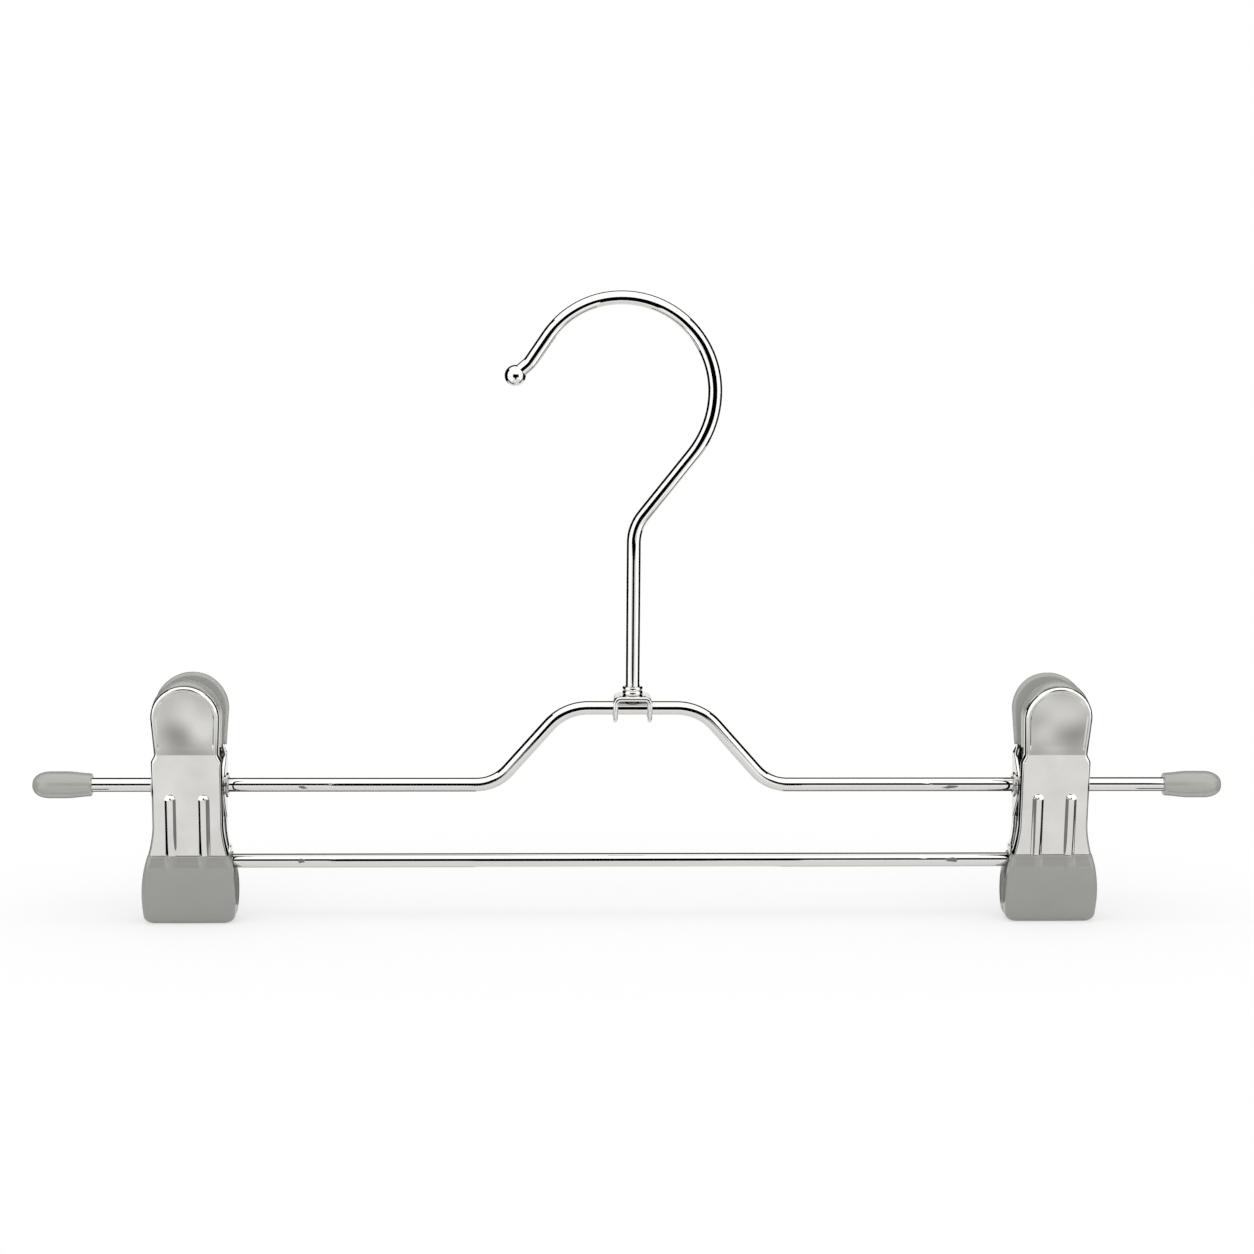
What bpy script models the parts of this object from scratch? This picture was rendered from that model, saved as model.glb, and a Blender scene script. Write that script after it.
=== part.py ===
"""A trouser hanger: swivelling wire hook, cranked wire frame, two sprung clips on its arms
and a telescopic lower bar between the clips.

Metres, +Z up, X along the arms, -Y towards the viewer. The origin is the point inside the
hook that sits on the rail, on the swivel's axis.
"""
import math

import bmesh
import bpy
from mathutils import Matrix, Vector

# Wires and fits
WIRE_DIAMETER = 0.0035
WIRE_PLAY = 0.00025
FIT_GAP = 0.0003
WIRE_SIDES_RESOLUTION = 3
BEND_STEP = math.radians(9.0)

# Hook: its arc eases into a wider radius towards the stem and a tighter one towards the tip
HOOK_ARC_RADIUS = 0.0233
HOOK_ARC_OFFSET = 0.0033
HOOK_SHOULDER_RADIUS = 0.0254
HOOK_SHOULDER_START = math.radians(0.0)
HOOK_DIAGONAL_ANGLE = math.radians(38.3)
HOOK_HEIGHT = 0.0995
HOOK_STEM_BEND_RADIUS = 0.0110
HOOK_TIP_RADIUS = 0.0218
HOOK_TIP_START = math.radians(100.0)
HOOK_ARC_END_ANGLE = math.radians(146.0)
HOOK_TIP_STRAIGHT = 0.0082
HOOK_TIP_TURN = math.radians(15.0)
HOOK_TIP_NECK = 0.0047
HOOK_TIP_BEND_RADIUS = 0.0040
BALL_WALL = 0.00065
BALL_SINK = 0.0012

# Swivel: the groove near the foot of the stem, and the ferrule rolled into it
GROOVE_DEPTH = 0.00055
GROOVE_WIDTH = 0.0008
GROOVE_HEIGHT = 0.0011
GROOVE_CHAMFER = 0.0002
FERRULE_WALL = 0.00055
FERRULE_HEIGHT = 0.0027
FERRULE_WAIST_DEPTH = 0.00035
FERRULE_FLOOR = 0.0003
FERRULE_SHANK_RADIUS = 0.0014
LIP_WIDTH = 0.0003

# Saddle: the stirrup that carries the frame wire
SADDLE_WIDTH = 0.0098
SADDLE_DEPTH = 0.0074
SADDLE_SHEET = 0.0010
SADDLE_BEND_RADIUS = 0.0019

# Frame wire
FRAME_SPAN = 0.3000
FRAME_RISE = 0.0196
FRAME_CORNER_OUT = 0.0344
FRAME_SLOPE = math.radians(48.4)
FRAME_LOWER_BEND_RADIUS = 0.0107
FRAME_UPPER_BEND_RADIUS = 0.0130

# End caps
CAP_LENGTH = 0.0148
CAP_MOUTH_WALL = 0.00085
CAP_BODY_WALL = 0.00135
CAP_NOSE_WALL = 0.0022
CAP_LIP_RADIUS = 0.0004
CAP_SWELL_SHARES = ((0.25, 0.42), (0.45, 0.86), (0.60, 1.0), (0.72, 0.97))
CAP_NOSE_POWER = 0.8

# Clips: how far they stand in from the end caps, and the clip's own sizes from its pivot
LEFT_CLIP_INSET = 0.0243
RIGHT_CLIP_INSET = 0.0288
JAW_SHEET = 0.0009
PAD_WIDTH = 0.0170
PAD_TOP_RISE = 0.0269
PAD_LEAN = math.radians(12.5)
BEND_RISE = 0.0090
BEND_NOTCH = 0.0006
WAIST_WIDTH = 0.0177
SHOULDER_RISE = 0.0067
FLARE_START_DROP = 0.0121
FLARE_WIDTH = 0.0201
FLARE_MIDDLE_SHARE = 0.34
FLANGE_END_DROP = 0.0169
TONGUE_DROP = 0.0328
EDGE_BEND_RADIUS = 0.0011
EAR_WALL = 0.00095
EAR_FOOT_DROP = 0.0090
EAR_CLEARANCE = 0.0004
JOGGLE_FULL_SHARE = 0.75
RIB_SPACING = 0.0083
RIB_WIDTH = 0.0032
RIB_HEIGHT = 0.0009
RIB_TOP_DROP = 0.0013
RIB_DOME = 0.0013
RIB_RUNOUT = 0.0009
RIB_CROWN_SHARE = 0.42
GRIP_RUBBER = 0.00165

# Pivot eyelet and torsion spring
EYELET_WALL = 0.0004
EYELET_FLANGE_OVERHANG = 0.00075
EYELET_FLANGE_THICKNESS = 0.0006
SPRING_WIRE = 0.0010
SPRING_TURN_GAP = 0.0005
SPRING_TURNS = 5.5
SPRING_ROOM = 0.0013
SPRING_LEG_RISE = 0.0080
SPRING_SELF_GAP_LIMIT = 0.0004
POINTS_PER_TURN = 10

# Shoes
SHOE_TOP_DROP = 0.0172
SHOE_BOTTOM_DROP = 0.0346
SHOE_WIDTH = 0.0234
SHOE_SKIN = 0.0013
SHOE_CROWN = 0.0006
SHOE_CORNER_RADIUS = 0.0020
SHOE_EDGE_RADIUS = 0.0012
SHOE_INNER_EDGE_RADIUS = 0.0006
GRIP_FACE_TOP_DROP = 0.0246
GRIP_RAMP_HEIGHT = 0.0012
SHOE_WIDEST_SHARE = 0.60
SHOE_TOP_TAPER_SHARE = 0.095
SHOE_FOOT_TAPER_SHARE = 0.035

# Finger grips: the grey liners on the inner side of the finger pads
FRONT_GRIP_OVERHANG = 0.0006
REAR_GRIP_OVERHANG = 0.0009
GRIP_FOOT_RISE = 0.0097
GRIP_MARGIN = 0.00035
GRIP_EDGE_RADIUS = 0.0009
GRIP_WIDEST_SHARE = 0.74
GRIP_EDGE_SHARE = 0.92
GRIP_EDGE_INSET_SHARE = 0.30
JAW_OPEN_ANGLE = math.radians(20.0)

# Telescopic bar
BAR_DROP = 0.0194
BAR_DIAMETER = 0.0035
ROD_DIAMETER = 0.0022
ROD_PLAY = 0.0002
ROD_REACH = 0.0600
ROD_HEAD_THICKNESS = 0.0008
ROD_HEAD_OVERHANG = 0.0006
LUG_WALL = 0.0007
LUG_ROOT_HEIGHT = 0.0015
LUG_ROOT_INSET = 0.0010

CUT_OVERRUN = 0.0020
MERGE_DISTANCE = 0.000002
ROUND_SEGMENTS = 24

# Worked out from the sizes above
WIRE_RADIUS = WIRE_DIAMETER / 2
BORE_RADIUS = WIRE_RADIUS + WIRE_PLAY

ARC_INNER_RADIUS = HOOK_ARC_RADIUS - WIRE_RADIUS
ARC_CENTRE = Vector((-HOOK_ARC_OFFSET, -math.sqrt(ARC_INNER_RADIUS ** 2 - HOOK_ARC_OFFSET ** 2)))
ARM_Z = ARC_CENTRE.y - HOOK_HEIGHT
SADDLE_WIRE_Z = ARM_Z + FRAME_RISE
SADDLE_TOP_Z = SADDLE_WIRE_Z + WIRE_RADIUS + FIT_GAP + SADDLE_SHEET
STEM_FOOT_Z = SADDLE_TOP_Z + FERRULE_FLOOR + 2 * FIT_GAP

LEFT_CLIP_OUT = FRAME_SPAN / 2 - CAP_LENGTH - LEFT_CLIP_INSET
RIGHT_CLIP_OUT = FRAME_SPAN / 2 - CAP_LENGTH - RIGHT_CLIP_INSET

EYELET_RADIUS = BORE_RADIUS + EYELET_WALL
EAR_HOLE_RADIUS = EYELET_RADIUS + WIRE_PLAY
EAR_RADIUS = EAR_HOLE_RADIUS + EAR_WALL
FLARE_MIDDLE_DROP = (FLARE_START_DROP + FLANGE_END_DROP) / 2
SPRING_RADIUS = EYELET_RADIUS + FIT_GAP + SPRING_WIRE / 2
WEB_STANDOFF = SPRING_RADIUS + SPRING_WIRE / 2 + SPRING_ROOM + JAW_SHEET
TIP_STANDOFF = FIT_GAP / 2 + GRIP_RUBBER + JAW_SHEET
WEB_LEAN = (WEB_STANDOFF - TIP_STANDOFF) / TONGUE_DROP
FLANGE_DEPTH = WEB_STANDOFF - EAR_RADIUS - EAR_CLEARANCE
JOGGLE_END_DEPTH = WEB_STANDOFF - EAR_RADIUS - FIT_GAP
PAD_HALF = PAD_WIDTH / 2
PAD_ARC_RISE = PAD_TOP_RISE - PAD_HALF
WAIST_HALF = WAIST_WIDTH / 2
OUTER_EAR_HALF = WAIST_HALF
INNER_EAR_HALF = OUTER_EAR_HALF - JAW_SHEET - FIT_GAP
EAR_CORNER = EAR_RADIUS * math.sqrt(0.5)

ROD_RADIUS = ROD_DIAMETER / 2
ROD_HOLE_RADIUS = ROD_RADIUS + ROD_PLAY
LUG_RADIUS = ROD_HOLE_RADIUS + LUG_WALL
SHOE_RECESS = LUG_RADIUS + FIT_GAP
SHOE_HEIGHT = SHOE_BOTTOM_DROP - SHOE_TOP_DROP
LUG_OUTER = FLARE_WIDTH / 2


def clear_scene():
    for item in list(bpy.data.objects):
        bpy.data.objects.remove(item, do_unlink=True)


def make_material(name, colour, roughness, metallic):
    material = bpy.data.materials.new(name)
    material.use_nodes = True
    shader = material.node_tree.nodes["Principled BSDF"]
    shader.inputs["Base Color"].default_value = (*colour, 1.0)
    shader.inputs["Roughness"].default_value = roughness
    shader.inputs["Metallic"].default_value = metallic
    material.diffuse_color = (*colour, 1.0)
    return material


def link(item, parent=None):
    bpy.context.scene.collection.objects.link(item)
    item.parent = parent
    return item


def add_axis(name, x, z, parent=None):
    """An empty on a joint's axis, placed in the hanger's own frame."""
    empty = link(bpy.data.objects.new(name, None), parent)
    empty.location = Vector((x, 0, z)) - (parent.matrix_world.translation if parent else Vector())
    bpy.context.view_layer.update()
    return empty


def mesh_object(name, shape, material, parent=None, smooth_angle=math.radians(35.0)):
    bmesh.ops.remove_doubles(shape, verts=shape.verts, dist=MERGE_DISTANCE)
    bmesh.ops.recalc_face_normals(shape, faces=shape.faces)
    mesh = bpy.data.meshes.new(name)
    shape.to_mesh(mesh)
    shape.free()
    mesh.shade_smooth()
    mesh.set_sharp_from_angle(angle=smooth_angle)
    mesh.materials.append(material)
    return link(bpy.data.objects.new(name, mesh), parent)


def cutter_object(name, shape, parent=None):
    bmesh.ops.recalc_face_normals(shape, faces=shape.faces)
    mesh = bpy.data.meshes.new(name)
    shape.to_mesh(mesh)
    shape.free()
    cutter = link(bpy.data.objects.new(name, mesh), parent)
    cutter.hide_render = True
    cutter.display_type = 'WIRE'
    return cutter


def boolean(target, cutter, operation='DIFFERENCE'):
    modifier = target.modifiers.new(cutter.name, 'BOOLEAN')
    modifier.object = cutter
    modifier.operation = operation
    return modifier


def cylinder_along_x(radius, start, end, y=0.0, z=0.0):
    shape = bmesh.new()
    place = (Matrix.Translation(((start + end) / 2, y, z))
             @ Matrix.Rotation(math.pi / 2, 4, 'Y'))
    bmesh.ops.create_cone(shape, cap_ends=True, segments=ROUND_SEGMENTS, radius1=radius,
                          radius2=radius, depth=end - start, matrix=place)
    return shape


def cylinder_along_z(radius, bottom, top):
    shape = bmesh.new()
    place = Matrix.Translation((0, 0, (bottom + top) / 2))
    bmesh.ops.create_cone(shape, cap_ends=True, segments=ROUND_SEGMENTS, radius1=radius,
                          radius2=radius, depth=top - bottom, matrix=place)
    return shape


def prism(outline, direction, thickness):
    """A flat outline of 3-D points, pushed out along a direction."""
    shape = bmesh.new()
    face = shape.faces.new([shape.verts.new(point) for point in outline])
    pushed = bmesh.ops.extrude_face_region(shape, geom=[face])["geom"]
    moved = [item for item in pushed if isinstance(item, bmesh.types.BMVert)]
    bmesh.ops.translate(shape, verts=moved, vec=Vector(direction) * thickness)
    return shape


def turned(profile, segments, closed=False):
    """A (radius, height) profile turned about Z; an open one starts and ends on the axis."""
    shape = bmesh.new()
    ring = [shape.verts.new((radius, 0, height)) for radius, height in profile]
    pairs = list(zip(ring, ring[1:])) + ([(ring[-1], ring[0])] if closed else [])
    edges = [shape.edges.new(pair) for pair in pairs]
    bmesh.ops.spin(shape, geom=ring + edges, axis=(0, 0, 1), cent=(0, 0, 0),
                   angle=2 * math.pi, steps=segments, use_merge=True)
    return shape


def wire_object(name, points, diameter, resolution, material, parent=None, radii=None):
    """A round wire along 3-D points, with flat ends."""
    curve = bpy.data.curves.new(name, 'CURVE')
    curve.dimensions = '3D'
    curve.bevel_depth = diameter / 2
    curve.bevel_resolution = resolution
    curve.use_fill_caps = True
    spline = curve.splines.new('POLY')
    spline.points.add(len(points) - 1)
    for index, (spot, point) in enumerate(zip(spline.points, points)):
        spot.co = (*point, 1.0)
        spot.radius = radii[index] if radii else 1.0
    curve.materials.append(material)
    return link(bpy.data.objects.new(name, curve), parent)


def bent_path(corners, radii):
    """2-D points along straight runs whose corners are rounded by arcs."""
    path = [corners[0]]
    for before, corner, after, radius in zip(corners, corners[1:], corners[2:], radii):
        inward = (before - corner).normalized()
        onward = (after - corner).normalized()
        turn = math.pi - inward.angle(onward)
        reach = radius * math.tan(turn / 2)
        centre = corner + (inward + onward).normalized() * (radius / math.cos(turn / 2))
        start = corner + inward * reach - centre
        side = 1.0 if start.x * onward.y - start.y * onward.x > 0 else -1.0
        steps = max(2, round(turn / BEND_STEP))
        path += [centre + turn_vector(start, side * turn * step / steps)
                 for step in range(steps + 1)]
    return path + [corners[-1]]


def unit(angle):
    return Vector((math.cos(angle), math.sin(angle)))


def turn_vector(vector, angle):
    return Vector((vector.x * math.cos(angle) - vector.y * math.sin(angle),
                   vector.x * math.sin(angle) + vector.y * math.cos(angle)))


def in_front_plane(points):
    return [(point.x, 0.0, point.y) for point in points]


# The hook

def arc_points(centre, radius, start, end):
    steps = max(2, round((end - start) / BEND_STEP))
    return [centre + unit(start + (end - start) * step / steps) * radius
            for step in range(steps + 1)]


def hook_arc():
    """The three arcs that run into each other, from the slanted run round to the tip."""
    shoulder = ARC_CENTRE + unit(HOOK_SHOULDER_START) * (HOOK_ARC_RADIUS - HOOK_SHOULDER_RADIUS)
    tip = ARC_CENTRE + unit(HOOK_TIP_START) * (HOOK_ARC_RADIUS - HOOK_TIP_RADIUS)
    points = arc_points(shoulder, HOOK_SHOULDER_RADIUS, -HOOK_DIAGONAL_ANGLE, HOOK_SHOULDER_START)
    points += arc_points(ARC_CENTRE, HOOK_ARC_RADIUS, HOOK_SHOULDER_START, HOOK_TIP_START)[1:]
    return points + arc_points(tip, HOOK_TIP_RADIUS, HOOK_TIP_START, HOOK_ARC_END_ANGLE)[1:]


def hook_tip_end(leave):
    """Where the tip turns in, and the direction in which its neck reaches the ball."""
    run = unit(HOOK_ARC_END_ANGLE + math.pi / 2)
    return leave + run * HOOK_TIP_STRAIGHT, turn_vector(run, -HOOK_TIP_TURN)


def hook_path():
    """Centreline from the foot of the stem to the tip, in the X-Z plane."""
    arc = hook_arc()
    slant_top = arc[0]
    stem_corner = Vector((0, slant_top.y - slant_top.x / math.tan(HOOK_DIAGONAL_ANGLE)))
    lower = bent_path([Vector((0, STEM_FOOT_Z)), stem_corner, slant_top], [HOOK_STEM_BEND_RADIUS])
    corner, neck = hook_tip_end(arc[-1])
    end = corner + neck * (HOOK_TIP_NECK - BALL_SINK)
    upper = bent_path([arc[-1], corner, end], [HOOK_TIP_BEND_RADIUS])
    return lower[:-1] + arc + upper[1:]


def build_hook(chrome, root):
    """The hook wire, with the swivel groove turned into its stem, and its ball tip."""
    path = hook_path()
    groove_foot = STEM_FOOT_Z + GROOVE_HEIGHT - GROOVE_WIDTH / 2
    groove_top = groove_foot + GROOVE_WIDTH
    neck_share = (WIRE_RADIUS - GROOVE_DEPTH) / WIRE_RADIUS
    stem = [(STEM_FOOT_Z, 1.0), (groove_foot - GROOVE_CHAMFER, 1.0), (groove_foot, neck_share),
            (groove_top, neck_share), (groove_top + GROOVE_CHAMFER, 1.0)]
    points = [Vector((0, height)) for height, _ in stem] + path[1:]
    radii = [share for _, share in stem] + [1.0] * (len(path) - 1)
    wire_object("hook_wire", in_front_plane(points), WIRE_DIAMETER, WIRE_SIDES_RESOLUTION,
                chrome, root, radii)

    corner, neck = hook_tip_end(hook_arc()[-1])
    centre = corner + neck * HOOK_TIP_NECK
    socket = BORE_RADIUS
    ball = socket + BALL_WALL
    mouth = math.asin(socket / ball)
    steps = 7
    skin = [(ball * math.sin(mouth + (math.pi - mouth) * step / steps),
             ball * math.cos(mouth + (math.pi - mouth) * step / steps))
            for step in range(steps + 1)]
    floor = BALL_SINK - FIT_GAP
    profile = [(0, floor), (socket, floor)] + skin[:-1] + [(0, -ball)]
    shape = turned(profile, 16)
    upward = Vector((-neck.x, 0, -neck.y))
    place = (Matrix.Translation((centre.x, 0, centre.y))
             @ Vector((0, 0, 1)).rotation_difference(upward).to_matrix().to_4x4())
    bmesh.ops.transform(shape, matrix=place, verts=shape.verts)
    mesh_object("hook_tip_ball", shape, chrome, root)


# The swivel, saddle and frame wire

def build_ferrule(chrome, parent):
    """Two-beaded sleeve riveted to the saddle; its lip runs in the groove of the stem."""
    base = SADDLE_TOP_Z + FIT_GAP
    shank_foot = SADDLE_TOP_Z - SADDLE_SHEET
    top = base + FERRULE_HEIGHT
    lip = STEM_FOOT_Z + GROOVE_HEIGHT
    bead = BORE_RADIUS + FERRULE_WALL
    waist = bead - FERRULE_WAIST_DEPTH
    soft = FERRULE_WAIST_DEPTH
    lip_radius = WIRE_RADIUS - GROOVE_DEPTH + WIRE_PLAY
    lip_slope = LIP_WIDTH
    outside = [(0, shank_foot), (FERRULE_SHANK_RADIUS, shank_foot), (FERRULE_SHANK_RADIUS, base),
               (waist, base), (bead, base + soft), (bead, lip - soft), (waist, lip),
               (bead, lip + soft), (bead, top - soft), (waist, top)]
    inside = [(BORE_RADIUS, top), (BORE_RADIUS, lip + lip_slope), (lip_radius, lip + LIP_WIDTH / 2),
              (lip_radius, lip - LIP_WIDTH / 2), (BORE_RADIUS, lip - lip_slope),
              (BORE_RADIUS, base + FERRULE_FLOOR), (0, base + FERRULE_FLOOR)]
    shape = turned(outside + inside, 20)
    mesh_object("swivel_ferrule", shape, chrome, parent)


def build_saddle(chrome, parent):
    """Sheet stirrup: two ears bent down from a plate, the frame wire running through both."""
    half = SADDLE_WIDTH / 2
    foot = SADDLE_WIRE_Z - SADDLE_DEPTH / 2
    bend = SADDLE_BEND_RADIUS
    top = SADDLE_TOP_Z
    steps = 4
    turns = [math.pi / 2 * step / steps for step in range(steps + 1)]
    outer = [(half - bend + bend * math.cos(turn), top - bend + bend * math.sin(turn))
             for turn in turns]
    inner_bend = bend - SADDLE_SHEET
    inner = [(half - bend + inner_bend * math.cos(turn), top - bend + inner_bend * math.sin(turn))
             for turn in turns]
    right = [(half, foot)] + outer
    left = [(-x, z) for x, z in reversed(right)]
    inside_left = [(-half + SADDLE_SHEET, foot)] + [(-x, z) for x, z in inner]
    inside_right = [(x, z) for x, z in reversed(inner)] + [(half - SADDLE_SHEET, foot)]
    outline = [(x, -SADDLE_DEPTH / 2, z) for x, z in right + left + inside_left + inside_right]
    saddle = mesh_object("hook_saddle", prism(outline, (0, 1, 0), SADDLE_DEPTH), chrome, parent)

    steps = 12
    arc = [(math.cos(math.pi + math.pi * step / steps), math.sin(math.pi + math.pi * step / steps))
           for step in range(steps + 1)]
    reach = half + CUT_OVERRUN
    edge = SADDLE_DEPTH / 2
    ends = [(-reach, edge * y, SADDLE_WIRE_Z + edge * z) for y, z in arc]
    ends += [(-reach, edge + CUT_OVERRUN, SADDLE_WIRE_Z),
             (-reach, edge + CUT_OVERRUN, foot - CUT_OVERRUN),
             (-reach, -edge - CUT_OVERRUN, foot - CUT_OVERRUN),
             (-reach, -edge - CUT_OVERRUN, SADDLE_WIRE_Z)]
    boolean(saddle, cutter_object("saddle_ear_rounding", prism(ends, (1, 0, 0), 2 * reach), parent))
    hole = cylinder_along_x(BORE_RADIUS, -reach, reach, z=SADDLE_WIRE_Z)
    boolean(saddle, cutter_object("saddle_wire_hole", hole, parent))
    rivet = cylinder_along_z(FERRULE_SHANK_RADIUS + WIRE_PLAY, top - SADDLE_SHEET - CUT_OVERRUN / 2,
                             top + CUT_OVERRUN)
    boolean(saddle, cutter_object("saddle_rivet_hole", rivet, parent))


def build_frame_wire(chrome, parent):
    """One wire: two arms, two bends each side, and a raised middle under the hook."""
    end = FRAME_SPAN / 2 - CAP_NOSE_WALL
    inner_corner = FRAME_CORNER_OUT - FRAME_RISE / math.tan(FRAME_SLOPE)
    corners = [Vector((-end, ARM_Z)), Vector((-FRAME_CORNER_OUT, ARM_Z)),
               Vector((-inner_corner, SADDLE_WIRE_Z)), Vector((inner_corner, SADDLE_WIRE_Z)),
               Vector((FRAME_CORNER_OUT, ARM_Z)), Vector((end, ARM_Z))]
    radii = [FRAME_LOWER_BEND_RADIUS, FRAME_UPPER_BEND_RADIUS,
             FRAME_UPPER_BEND_RADIUS, FRAME_LOWER_BEND_RADIUS]
    wire_object("frame_wire", in_front_plane(bent_path(corners, radii)), WIRE_DIAMETER,
                WIRE_SIDES_RESOLUTION, chrome, parent)


def build_end_cap(name, side, vinyl, parent):
    """Soft cap pushed over the end of an arm: rounded nose, fullest near its middle."""
    mouth = BORE_RADIUS + CAP_MOUTH_WALL
    full = BORE_RADIUS + CAP_BODY_WALL
    floor = CAP_LENGTH - CAP_NOSE_WALL + FIT_GAP
    profile = [(BORE_RADIUS, 0), (mouth - CAP_LIP_RADIUS / 2, 0), (mouth, CAP_LIP_RADIUS)]
    profile += [(mouth + (full - mouth) * swell, CAP_LENGTH * along)
                for along, swell in CAP_SWELL_SHARES]
    nose = CAP_LENGTH * (1 - CAP_SWELL_SHARES[-1][0])
    nose_radius = profile[-1][0]
    steps = 5
    for step in range(1, steps):
        turn = math.pi / 2 * step / steps
        profile.append((nose_radius * math.cos(turn) ** CAP_NOSE_POWER,
                        CAP_LENGTH - nose + nose * math.sin(turn)))
    profile += [(0, CAP_LENGTH), (0, floor), (BORE_RADIUS, floor)]
    shape = turned_with_bore(profile)
    turn = Matrix.Rotation(side * math.pi / 2, 4, 'Y')
    place = Matrix.Translation((side * (FRAME_SPAN / 2 - CAP_LENGTH), 0, ARM_Z)) @ turn
    bmesh.ops.transform(shape, matrix=place, verts=shape.verts)
    mesh_object(name, shape, vinyl, parent)


def turned_with_bore(profile):
    """Turns a closed profile that touches the axis along one edge, and leaves no faces there."""
    shape = bmesh.new()
    ring = [shape.verts.new((radius, 0, height)) for radius, height in profile]
    pairs = list(zip(ring, ring[1:] + ring[:1]))
    edges = [shape.edges.new(pair) for pair in pairs if any(vert.co.x > 0 for vert in pair)]
    bmesh.ops.spin(shape, geom=ring + edges, axis=(0, 0, 1), cent=(0, 0, 0),
                   angle=2 * math.pi, steps=16, use_merge=True)
    return shape


# Clip jaws: the front one is worked out, and the rear one is its mirror image

def web_front(height):
    """How far the outer face of a jaw stands from the pivot's plane at a height."""
    if height <= BEND_RISE:
        return WEB_STANDOFF + WEB_LEAN * height
    return WEB_STANDOFF + WEB_LEAN * BEND_RISE + (height - BEND_RISE) * math.tan(PAD_LEAN)


def jaw_half_width(height):
    """Half the width of a jaw over its bent edges."""
    notch = PAD_HALF - BEND_NOTCH
    flare = FLARE_WIDTH / 2
    table = ((-FLANGE_END_DROP, flare),
             (-FLARE_MIDDLE_DROP, WAIST_HALF + (flare - WAIST_HALF) * FLARE_MIDDLE_SHARE),
             (-FLARE_START_DROP, WAIST_HALF), (SHOULDER_RISE, WAIST_HALF), (BEND_RISE, notch),
             (PAD_ARC_RISE, PAD_HALF))
    if height <= table[0][0]:
        return table[0][1]
    for (low, low_half), (high, high_half) in zip(table, table[1:]):
        if height <= high:
            return low_half + (high_half - low_half) * (height - low) / (high - low)
    return PAD_HALF


def free_edge(height):
    """How far past the pivot's plane the bent edge of a jaw reaches; negative is short of it."""
    plain = FLANGE_DEPTH - web_front(height)
    if abs(height) <= EAR_CORNER:
        return math.sqrt(EAR_RADIUS ** 2 - height ** 2)
    limit = BEND_RISE if height > 0 else EAR_FOOT_DROP
    if abs(height) >= limit:
        return plain
    level = math.copysign(limit, height)
    low_reach = FLANGE_DEPTH - web_front(level)
    return EAR_CORNER + (low_reach - EAR_CORNER) * (abs(height) - EAR_CORNER) / (limit - EAR_CORNER)


def joggle_share(height):
    """1 where a front jaw's ear is set inwards, 0 where its edge stays in line."""
    limit = BEND_RISE if height > 0 else EAR_FOOT_DROP
    full = min(SHOULDER_RISE, limit * JOGGLE_FULL_SHARE)
    return max(0.0, min(1.0, (limit - abs(height)) / (limit - full)))


def rib_height(height):
    """Height of the pressed ribs: a dome at the top, a run-out just above the shoe."""
    top = -RIB_TOP_DROP
    foot = -FLANGE_END_DROP
    if height >= top or height <= foot:
        return 0.0
    dome = min(1.0, (top - height) / RIB_DOME)
    runout = min(1.0, (height - foot) / RIB_RUNOUT)
    return RIB_HEIGHT * math.sin(math.pi / 2 * dome) * runout


def jaw_levels():
    joggle_foot = min(SHOULDER_RISE, EAR_FOOT_DROP * JOGGLE_FULL_SHARE)
    levels = {PAD_ARC_RISE, BEND_RISE, SHOULDER_RISE, EAR_CORNER, EAR_CORNER / 2, 0.0,
              -EAR_CORNER / 2, -EAR_CORNER, -joggle_foot, -EAR_FOOT_DROP, -FLARE_START_DROP,
              -FLARE_MIDDLE_DROP, RIB_RUNOUT - FLANGE_END_DROP, -FLANGE_END_DROP}
    return sorted(levels, reverse=True)


def rib_columns():
    """Half-widths of the columns of the flat web, and which of them stand up as ribs."""
    middle = RIB_SPACING / 2
    edge = RIB_WIDTH / 2
    crown = edge * RIB_CROWN_SHARE
    return ((0.0, 0.0), (middle - edge, 0.0), (middle - crown, 1.0), (middle + crown, 1.0),
            (middle + edge, 0.0))


def jaw_section(height, joggled):
    """(half-width, depth from the outer face) from the middle of the web to the bent edge."""
    half = jaw_half_width(height)
    flat = half - EDGE_BEND_RADIUS
    squeeze = flat / (WAIST_HALF - EDGE_BEND_RADIUS) if height > BEND_RISE else 1.0
    rib = rib_height(height)
    section = [(column * squeeze, -rib * crown) for column, crown in rib_columns()]
    section.append((flat, 0.0))
    for turn in (math.pi / 4, math.pi / 2):
        section.append((flat + EDGE_BEND_RADIUS * math.sin(turn),
                        EDGE_BEND_RADIUS * (1 - math.cos(turn))))
    reach = web_front(height) + free_edge(height)
    if joggled:
        share = joggle_share(height)
        plain = (EDGE_BEND_RADIUS + FLANGE_DEPTH) / 2
        ear = half + (INNER_EAR_HALF - half) * share
        section.append((ear, plain + (JOGGLE_END_DEPTH - plain) * share))
        section.append((ear, reach))
    else:
        section.append((half, reach))
    return section


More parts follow.
